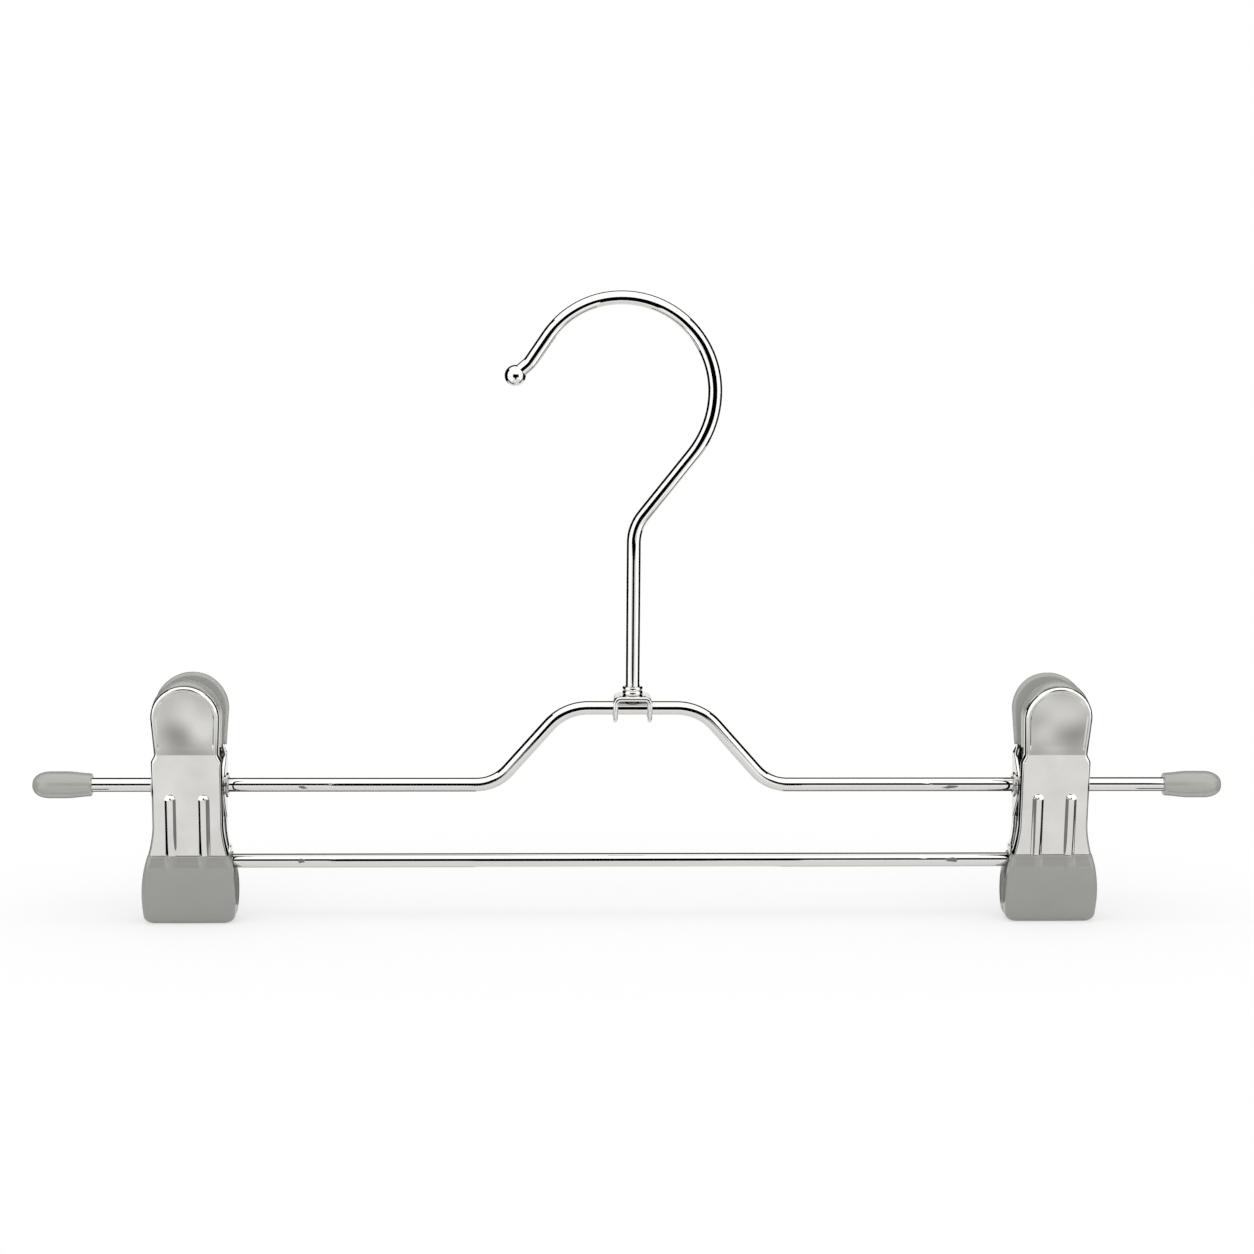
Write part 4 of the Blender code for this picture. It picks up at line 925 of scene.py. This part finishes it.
        def place(column, row):
            column -= half_columns
            side = 1.0 if column >= 0 else -1.0
            if row <= body_rows:
                height = levels[row]
                x, depth = self.section(height, abs(column))
                inset = self.half_width(height) - x
                if height < -self.flange_end:
                    x = min(x, self.sizes.flare / 2 - self.edge_bend)
                    depth = 0.0
            else:
                turn = pi / 2 * (row - body_rows) / self.rim_rows
                out, depth = self.section(self.arc_rise, abs(column))
                x = out * cos(turn)
                height = self.arc_rise + out * sin(turn)
                inset = self.pad_half - out
            pressed = self.sink(x, height, inset) - self.rib(x, height) if depth == 0.0 else 0.0
            return Vector((side * x, depth + pressed - self.front(height), height))

        return mapped_grid(2 * half_columns, body_rows + self.rim_rows, place)


class OBJECT_OT_hanger_jaws(bpy.types.Operator):
    """Stamp the front and rear jaws of both clips"""
    bl_idname = "object.hanger_jaws"
    bl_label = "Jaws"

    def execute(self, context):
        sizes = context.scene.hanger_clips
        for half in clip_halves():
            form = JawForm(sizes, not half.rear, half.shoe_drop(sizes))
            shape = form.shape()
            bmesh.ops.remove_doubles(shape, verts=shape.verts, dist=WELD)
            half.mirrored(shape)
            outside = Vector((0, -half.mirror * form.stand, 0))
            middle = min(shape.faces,
                         key=lambda face: (face.calc_center_median() - outside).length)
            if middle.normal.y * half.mirror > 0:
                bmesh.ops.reverse_faces(shape, faces=shape.faces)
            self.dress_pad(shape, form, -half.inward)
            piece = half.add("stamped", "jaw", shape, JAW)
            wall = piece.modifiers.new("sheet_thickness", 'SOLIDIFY')
            wall.thickness = sizes.sheet
            wall.offset = -1.0
            if half.rear:
                self.add_lug(half.hand, half.inward, half.pivot)
        return {'FINISHED'}

    def dress_pad(self, shape, form, outward):
        """Gives the faces of the finger pad the second material, and maps their place in cm."""
        layer = shape.loops.layers.uv.new(PAD_MAP)
        for face in shape.faces:
            above = face.calc_center_median().z > form.sizes.bend_rise
            face.material_index = int(above and abs(face.normal.y) > form.pad_facing)
            for loop in face.loops:
                spot = loop.vert.co
                loop[layer].uv = (spot.x * outward * 100.0, spot.z * 100.0)

    def add_lug(self, hand, inward, pivot):
        """The rear jaw's eye for the bar's rod, hanging beside the shoes on the inner side."""
        outer, sheet, radius = 0.0100, 0.0009, 0.0020
        rear, top, shoulder, slope_foot, slope_top = 0.0041, -0.0162, -0.0177, 0.0008, 0.0012
        drop = pivot.z - BAR_HEIGHT
        outline = [(rear, top), (rear, shoulder), (radius, shoulder)]
        outline += [(radius * cos(turn), radius * sin(turn) - drop)
                    for turn in (-pi * step / 24 for step in range(25))]
        outline += [(-radius, -drop + slope_foot), (slope_top, top)]
        start = outer - sheet if inward > 0 else -outer
        shape = bmesh.new()
        shape.faces.new([shape.verts.new((start, y, z)) for y, z in outline])
        thicken(shape, (sheet, 0, 0))
        bmesh.ops.translate(shape, verts=shape.verts, vec=pivot)
        piece = add_piece(hand + "_bar_rod_lug", shape, SHEET, hand + "_clip",
                          hand + "_rear_jaw")
        soften = piece.modifiers.new("rolled_edges", 'BEVEL')
        soften.width = 0.00015
        soften.segments = 2
        soften.limit_method = 'ANGLE'
        soften.angle_limit = radians(35.0)


class ShoeForm:
    """A dipped shoe, in its clip's own frame with the pivot at the origin."""
    corner = 0.0020
    edge = 0.0012
    inner_edge = 0.0005
    skin = 0.0013
    lip = 0.00028
    lip_skin = 0.0005
    lip_reach = 0.0032
    crown = 0.0006
    bow = 0.00012
    tuck = 0.0011
    jaw_gap = 0.00015
    grip_top = 0.0246
    ramp = 0.0012
    recess = 0.0023
    widest = 0.60
    front_steps = 132

    def __init__(self, sizes, jaw, lower):
        self.sizes = sizes
        self.jaw = jaw
        self.top = sizes.shoe_top + lower
        self.height = sizes.shoe_foot - self.top

    def half_width(self, drop):
        along = (drop - self.top) / self.height
        if along < self.widest:
            lack = 0.125 * ((self.widest - along) / self.widest) ** 2
        else:
            lack = 0.045 * ((along - self.widest) / (1 - self.widest)) ** 2
        return self.sizes.shoe_width / 2 * (1 - lack)

    def bulge(self, x, drop):
        """The skin follows the ribs at its top, and they still show faintly further down."""
        below = drop - self.top
        share = 0.78 * ease(1.0 - below / 0.0026) + 0.22 * ease(1.0 - below / 0.0085)
        return self.jaw.rib(x, -0.010) * share

    def ring(self, drop, inset, side_inset):
        along = (drop - self.top) / self.height
        skin = (self.lip_skin
                + (self.skin - self.lip_skin) * ease(along * self.height / self.lip_reach))
        outer = (self.jaw.front(-min(drop, self.jaw.tongue_drop)) + skin
                 + self.crown * sin(pi * clamp(along)))
        share = ease((self.grip_top - drop) / self.ramp)
        half = self.half_width(drop) - side_inset
        front = inset - outer
        back = -(self.jaw_gap + (self.recess - self.jaw_gap) * share) - inset
        edge = min(self.edge, (back - front) * 0.45)
        inner = self.inner_edge
        face = []
        for step in range(self.front_steps + 1):
            x = (half - edge) * (2 * step / self.front_steps - 1)
            bow = self.bow * (1 - (x / half) ** 2)
            face.append((x, front - self.bulge(x, drop) - bow))
        side = [(half - edge + edge * sin(turn), front + edge - edge * cos(turn))
                for turn in quarter(8)[1:]]
        side += [(half, front + edge + (back - inner - front - edge) * step / 10)
                 for step in range(1, 10)]
        side += [(half - inner + inner * cos(turn), back - inner + inner * sin(turn))
                 for turn in quarter(8)]
        points = face + side + [(-x, y) for x, y in reversed(side)]
        return [Vector((x, y, -drop)) for x, y in points]

    def shape(self):
        top, lip = self.top, self.lip
        start = self.sizes.shoe_foot - self.corner
        rows = []
        for turn in quarter(5)[:-1]:
            inset = lip * (1 - sin(turn))
            rows.append((top + lip * (1 - cos(turn)), inset, inset * 0.35))
        rows += [(top + lip + (start - top - lip) * step / 46, 0.0, 0.0) for step in range(47)]
        for turn in quarter(12)[1:]:
            pulled = 1 - cos(turn)
            rows.append((start + self.corner * sin(turn), self.tuck * pulled,
                         self.corner * pulled))
        return lofted([self.ring(*row) for row in rows])


class OBJECT_OT_hanger_shoes(bpy.types.Operator):
    """Dip the four soft shoes"""
    bl_idname = "object.hanger_shoes"
    bl_label = "Shoes"

    def execute(self, context):
        sizes = context.scene.hanger_clips
        for half in clip_halves():
            form = ShoeForm(sizes, JawForm(sizes, True), half.shoe_drop(sizes))
            half.add("dipped", "shoe", half.mirrored(form.shape()), SHOE, 60.0)
        return {'FINISHED'}


class OBJECT_OT_hanger_finger_grips(bpy.types.Operator):
    """Mould the soft liners behind the finger pads"""
    bl_idname = "object.hanger_finger_grips"
    bl_label = "Finger grips"

    def execute(self, context):
        sizes = context.scene.hanger_clips
        for half in clip_halves():
            side, top = ((sizes.rear_side, sizes.rear_top) if half.rear
                         else (sizes.front_side, sizes.front_top))
            shape = half.mirrored(self.grip_shape(sizes, side, top))
            half.add("moulded", "finger_grip", shape, GRIP, 60.0)
        return {'FINISHED'}

    def grip_shape(self, sizes, side, top):
        jaw = JawForm(sizes, True)
        foot_rise, inner_gap, inner_lean = 0.0106, 0.00035, radians(10.0)
        roll, wall_share, shy = 0.0009, 0.74, -0.0001
        steps, side_steps = 72, 12

        def ring(wider, higher, depth, share):
            foot = foot_rise - wider
            heights = [foot + (jaw.arc_rise - foot) * step / side_steps
                       for step in range(side_steps)]
            rising = [(-jaw.half_width(height) - wider, height) for height in heights]
            outline = rising + [
                (-(jaw.pad_half + wider) * cos(pi * step / steps),
                 jaw.arc_rise + (jaw.pad_half + higher) * sin(pi * step / steps))
                for step in range(steps + 1)]
            outline += [(-x, height) for x, height in reversed(rising)]
            points = []
            for x, z in outline:
                front = depth - jaw.front(z)
                inner = -inner_gap - z * tan(inner_lean)
                points.append(Vector((x, front + (inner - front) * share, z)))
            return points

        seat = jaw.flange + CLEARANCE
        boss = -sizes.sheet - CLEARANCE - sizes.bend_notch
        rings = [ring(boss, boss, sizes.sheet + CLEARANCE, 0.0), ring(boss, boss, seat, 0.0),
                 ring(shy, shy, seat, 0.0)]
        for step, turn in enumerate(quarter(8)):
            swell = sin(turn)
            rings.append(ring(side * swell, top * swell, seat,
                              0.01 + (wall_share - 0.01) * step / 8))
        for turn in quarter(8)[1:]:
            pulled = roll * (1 - cos(turn))
            rings.append(ring(side - pulled, top - pulled, seat,
                              wall_share + (1 - wall_share) * sin(turn)))
        return lofted(rings)


class OBJECT_OT_hanger_pivots(bpy.types.Operator):
    """Roll the pivot eyelets and wind the clip springs"""
    bl_idname = "object.hanger_pivots"
    bl_label = "Pivots and springs"

    def execute(self, context):
        wires = context.scene.hanger_wires
        bore = wires.diameter / 2 + wires.play
        barrel, trim, rim, rolled = bore + 0.0004, 0.0004, 0.0004, 0.0006
        for hand, inward in HANDS:
            node = hand + "_pivot_eyelet"
            low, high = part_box(node)
            flange = (high.z - low.z) / 2
            length = high.x - low.x - trim
            corners = [(bore, 0.0, 0.6), (flange, 0.0, 0.6), (flange, rim, 0.6),
                       (barrel, rim, 0.0), (barrel, length - rolled, 0.0),
                       (flange, length - rolled, 0.8), (flange, length, 1.0),
                       (bore, length, 0.8)]
            shape = along_x(turned(rounded(corners, 0.0003)), node, ARM_HEIGHT, inward, trim)
            add_piece(hand + "_rolled_pivot_eyelet", shape, WIRE, hand + "_clip", node)
            self.add_spring(hand, node_middle(node))
        return {'FINISHED'}

    def add_spring(self, hand, pivot):
        """Coil round the eyelet with its rear leg, and the front leg that a front jaw pushes.

        The front leg reaches a little way into the coil, so they still meet on an open clip."""
        thickness, radius, turns, pitch = 0.0010, 0.0032, 5.5, 0.0015
        advance = pitch / (2 * pi)
        overlap = radians(30.0)
        for name, body, side, foot, sweep, gauge in (
                ("_wound_clip_spring", "_clip", 1.0, 0.0, 2 * pi * turns, thickness),
                ("_front_spring_leg", "_front", -1.0, overlap, -overlap, thickness * 0.97)):
            shape = bmesh.new()
            place = (Matrix.Translation((advance * foot - pitch * turns / 2, 0, 0))
                     @ Matrix.Rotation(foot, 4, 'X') @ Matrix.Translation((0, -radius, 0)))
            steps = round(abs(sweep) / radians(13.0))
            ring = bmesh.ops.spin(shape, geom=add_ring(shape, 16, gauge / 2, place),
                                  cent=(0, 0, 0), axis=(1, 0, 0),
                                  dvec=(advance * sweep / steps, 0, 0), angle=sweep,
                                  steps=steps)["geom_last"]
            self.draw_leg(shape, ring, side)
            close_ends(shape)
            face_outwards(shape)
            bmesh.ops.translate(shape, verts=shape.verts, vec=pivot)
            add_piece(hand + name, shape, SPRING, hand + body, hand + "_clip_spring", 60.0)

    def draw_leg(self, shape, ring, side):
        """Draws an open ring of the coil upwards and out to the inside of a web."""
        reach, rise, steps = 0.0018, 0.0080, 12
        for step in range(steps):
            out = reach * (((step + 1) / steps) ** 2 - (step / steps) ** 2)
            ring = draw_ring(shape, ring, (0, side * out, rise / steps))


# Stage

def cleared_tree(owner):
    owner.use_nodes = True
    owner.node_tree.nodes.clear()
    return owner.node_tree


def ray_share(tree, *kinds):
    """A socket that is 1 for rays of one of those kinds, and 0 for all others."""
    path = add_node(tree, "ShaderNodeLightPath")
    seen = path.outputs[kinds[0]]
    for kind in kinds[1:]:
        seen = add_node(tree, "ShaderNodeMath", {"operation": 'MAXIMUM'},
                        links={0: seen, 1: path.outputs[kind]}).outputs["Value"]
    return seen


class OBJECT_OT_hanger_stage(bpy.types.Operator):
    """Set up the floor, the light tent with its black flags, and the camera"""
    bl_idname = "object.hanger_stage"
    bl_label = "Stage"

    def execute(self, context):
        self.add_floor(context)
        self.add_world(context)
        self.add_lamp(context)
        self.add_tent()
        self.add_camera(context)
        context.scene.view_settings.view_transform = 'Standard'
        return {'FINISHED'}

    def add_floor(self, context):
        """White paper that fades into plain white away from the hanger."""
        shape = bmesh.new()
        bmesh.ops.create_circle(shape, cap_ends=True, segments=96, radius=6.0,
                                matrix=Matrix.Translation((0, 0, FLOOR_HEIGHT - 0.00002)))
        material = bpy.data.materials.new("pale_studio_floor")
        tree = cleared_tree(material)
        white = linear_colour(context.scene.hanger_finishes.floor)
        paper = add_node(tree, "ShaderNodeBsdfDiffuse", inputs={"Color": white})
        glow = add_node(tree, "ShaderNodeEmission", inputs={"Color": WHITE, "Strength": 1.0})
        place = add_node(tree, "ShaderNodeTexCoord")
        oval = add_node(tree, "ShaderNodeMapping", inputs={"Scale": (1.0, 2.4, 0.0)},
                        links={"Vector": place.outputs["Object"]})
        away = add_node(tree, "ShaderNodeVectorMath", {"operation": 'LENGTH'},
                        links={0: oval.outputs["Vector"]})
        fade = add_node(tree, "ShaderNodeMapRange", {"interpolation_type": 'SMOOTHSTEP'},
                        inputs={"From Min": 0.12, "From Max": 0.24, "To Min": 0.55},
                        links={"Value": away.outputs["Value"]})
        share = add_node(tree, "ShaderNodeMath", {"operation": 'MULTIPLY'},
                         links={0: fade.outputs["Result"],
                                1: ray_share(tree, "Is Camera Ray", "Is Glossy Ray")})
        mix = add_node(tree, "ShaderNodeMixShader",
                       links={0: share.outputs["Value"], 1: paper.outputs["BSDF"],
                              2: glow.outputs["Emission"]})
        add_node(tree, "ShaderNodeOutputMaterial", links={"Surface": mix.outputs["Shader"]})
        add_mesh("studio_floor", shape, [material])

    def add_world(self, context):
        """A white room, a little dimmer as light than as seen."""
        world = bpy.data.worlds.new("white_studio")
        context.scene.world = world
        tree = cleared_tree(world)
        seen = ray_share(tree, "Is Camera Ray", "Is Glossy Ray", "Is Transmission Ray")
        level = add_node(tree, "ShaderNodeMapRange",
                         inputs={"To Min": 0.72, "To Max": 1.0}, links={"Value": seen})
        sky = add_node(tree, "ShaderNodeBackground", inputs={"Color": WHITE},
                       links={"Strength": level.outputs["Result"]})
        add_node(tree, "ShaderNodeOutputWorld", links={"Surface": sky.outputs["Background"]})

    def add_lamp(self, context):
        """One wide lamp overhead and a little in front, for the soft shadows."""
        lamp = bpy.data.lights.new("overhead_softbox", 'AREA')
        lamp.shape = 'RECTANGLE'
        lamp.size = 1.4
        lamp.size_y = 1.0
        lamp.energy = 6.0
        holder = bpy.data.objects.new("overhead_softbox", lamp)
        holder.location = (0.0, -0.35, 1.0)
        holder.rotation_euler = (radians(-18.0), 0.0, 0.0)
        holder.visible_glossy = False
        context.scene.collection.objects.link(holder)

    def cloth(self, name, strength):
        material = bpy.data.materials.new(name)
        tree = cleared_tree(material)
        glow = add_node(tree, "ShaderNodeEmission",
                        inputs={"Color": WHITE, "Strength": strength})
        add_node(tree, "ShaderNodeOutputMaterial", links={"Surface": glow.outputs["Emission"]})
        return material

    def add_card(self, name, material, start, edge, push=None, axis=None, degrees=0.0):
        """A card seen by glossy rays only: an edge pushed flat, or swung about an axis."""
        shape = bmesh.new()
        ends = [shape.verts.new(start), shape.verts.new(Vector(start) + Vector(edge))]
        line = shape.edges.new(ends)
        if push:
            draw_ring(shape, [line], push)
        else:
            bmesh.ops.spin(shape, geom=ends + [line], cent=(0, 0, ARM_HEIGHT), axis=axis,
                           angle=radians(degrees), steps=24)
        card = add_mesh(name, shape, [material])
        card.visible_camera = False
        card.visible_diffuse = False
        card.visible_shadow = False
        card.visible_transmission = False

    def add_tent(self):
        """What the metal sees: a bright tent above and at both sides, and black flags.

        Only glossy rays see these cards, so they shape the chrome's lines and light nothing."""
        cloths = {name.split("_")[0]: self.cloth(name, strength)
                  for name, strength in CLOTHS.items()}
        for name, cloth, *place in FLAT_CARDS:
            ranges = [side if isinstance(side, tuple) else (side, side) for side in place]
            spans = [Vector([high - low if axis == along else 0.0 for along in range(3)])
                     for axis, (low, high) in enumerate(ranges) if high > low]
            self.add_card(name, cloths[cloth], [low for low, high in ranges], *spans)
        for name, cloth, first, sweep, foot, top in ROUND_CARDS:
            turn = radians(first)
            start = (TENT_REACH * sin(turn), -TENT_REACH * cos(turn), foot)
            self.add_card(name, cloths[cloth], start, (0, 0, top - foot), axis=(0, 0, 1),
                          degrees=sweep)
        first = radians(5.0)
        start = (-TENT_REACH, -TENT_REACH * cos(first),
                 ARM_HEIGHT + TENT_REACH * sin(first))
        self.add_card("tent_top", cloths["bright"], start, (2 * TENT_REACH, 0, 0),
                      axis=(-1, 0, 0), degrees=113.0)
        for name, place in (("left_edge_flag", -0.1003), ("right_edge_flag", 0.0961)):
            self.add_card(name, cloths["black"], (place, -0.0045, -0.139), (0, 0.0032, 0),
                          (0, -0.0045, 0.044))
        near, eye_x, eye_distance = 0.014, -0.0227, 0.63
        for name, place, depth, foot, top in FINS:
            slant = (place - eye_x) * 1.08 / eye_distance
            self.add_card(name, cloths["bright"], (place + slant * near, -near, foot),
                          (slant * (depth - near), near - depth, 0), (0, 0, top - foot))

    def add_camera(self, context):
        """The photograph's view: a slight downward look, with a small shift that keeps uprights."""
        lens, sensor, distance = 70.742, 36.0, 0.62
        elevation, azimuth = radians(9.7), radians(-2.1)
        roll, shift = radians(0.45), -0.15
        target = Vector((-0.0019, 0.0, ARM_HEIGHT + 0.0402))

        def towards(height):
            return Vector((sin(azimuth) * cos(height),
                           -cos(azimuth) * cos(height), sin(height)))

        back = towards(elevation - atan(abs(shift) * sensor / lens))
        right = Vector((0, 0, 1)).cross(back).normalized()
        up = back.cross(right).normalized()
        turned_right = right * cos(roll) + up * sin(roll)
        turned_up = up * cos(roll) - right * sin(roll)
        view = bpy.data.cameras.new("photo_camera")
        view.sensor_width = sensor
        view.lens = lens
        view.shift_y = shift
        view.clip_start = 0.01
        holder = bpy.data.objects.new("photo_camera", view)
        place = Matrix((turned_right, turned_up, back)).transposed().to_4x4()
        place.translation = target + towards(elevation) * distance
        holder.matrix_world = place
        context.scene.collection.objects.link(holder)
        context.scene.camera = holder


OPERATORS = (
    OBJECT_OT_hanger_stage,
    OBJECT_OT_hanger_hook,
    OBJECT_OT_hanger_swivel,
    OBJECT_OT_hanger_frame,
    OBJECT_OT_hanger_end_caps,
    OBJECT_OT_hanger_bar,
    OBJECT_OT_hanger_jaws,
    OBJECT_OT_hanger_shoes,
    OBJECT_OT_hanger_finger_grips,
    OBJECT_OT_hanger_pivots,
)


class VIEW3D_PT_hanger(bpy.types.Panel):
    """The hanger's sizes, finishes and steps"""
    bl_label = "Trouser hanger"
    bl_idname = "VIEW3D_PT_hanger"
    bl_space_type = 'VIEW_3D'
    bl_region_type = 'UI'
    bl_category = "Hanger"

    def draw(self, context):
        for key in GROUPS:
            group = getattr(context.scene, key)
            box = self.layout.box()
            box.label(text=key.split("_")[1].capitalize())
            for name in group.__annotations__:
                box.prop(group, name)
        for operator in OPERATORS:
            self.layout.operator(operator.bl_idname)


GROUPS = {"hanger_wires": HangerWireSizes, "hanger_clips": HangerClipSizes,
          "hanger_finishes": HangerFinishes}
CLASSES = (*GROUPS.values(), *OPERATORS, VIEW3D_PT_hanger)


def register():
    for item in CLASSES:
        bpy.utils.register_class(item)
    for name, group in GROUPS.items():
        setattr(bpy.types.Scene, name, bpy.props.PointerProperty(type=group))


def unregister():
    for name in GROUPS:
        delattr(bpy.types.Scene, name)
    for item in reversed(CLASSES):
        bpy.utils.unregister_class(item)


def main():
    register()
    for operator in OPERATORS:
        group, name = operator.bl_idname.split(".")
        getattr(getattr(bpy.ops, group), name)()


if __name__ == "__main__":
    main()
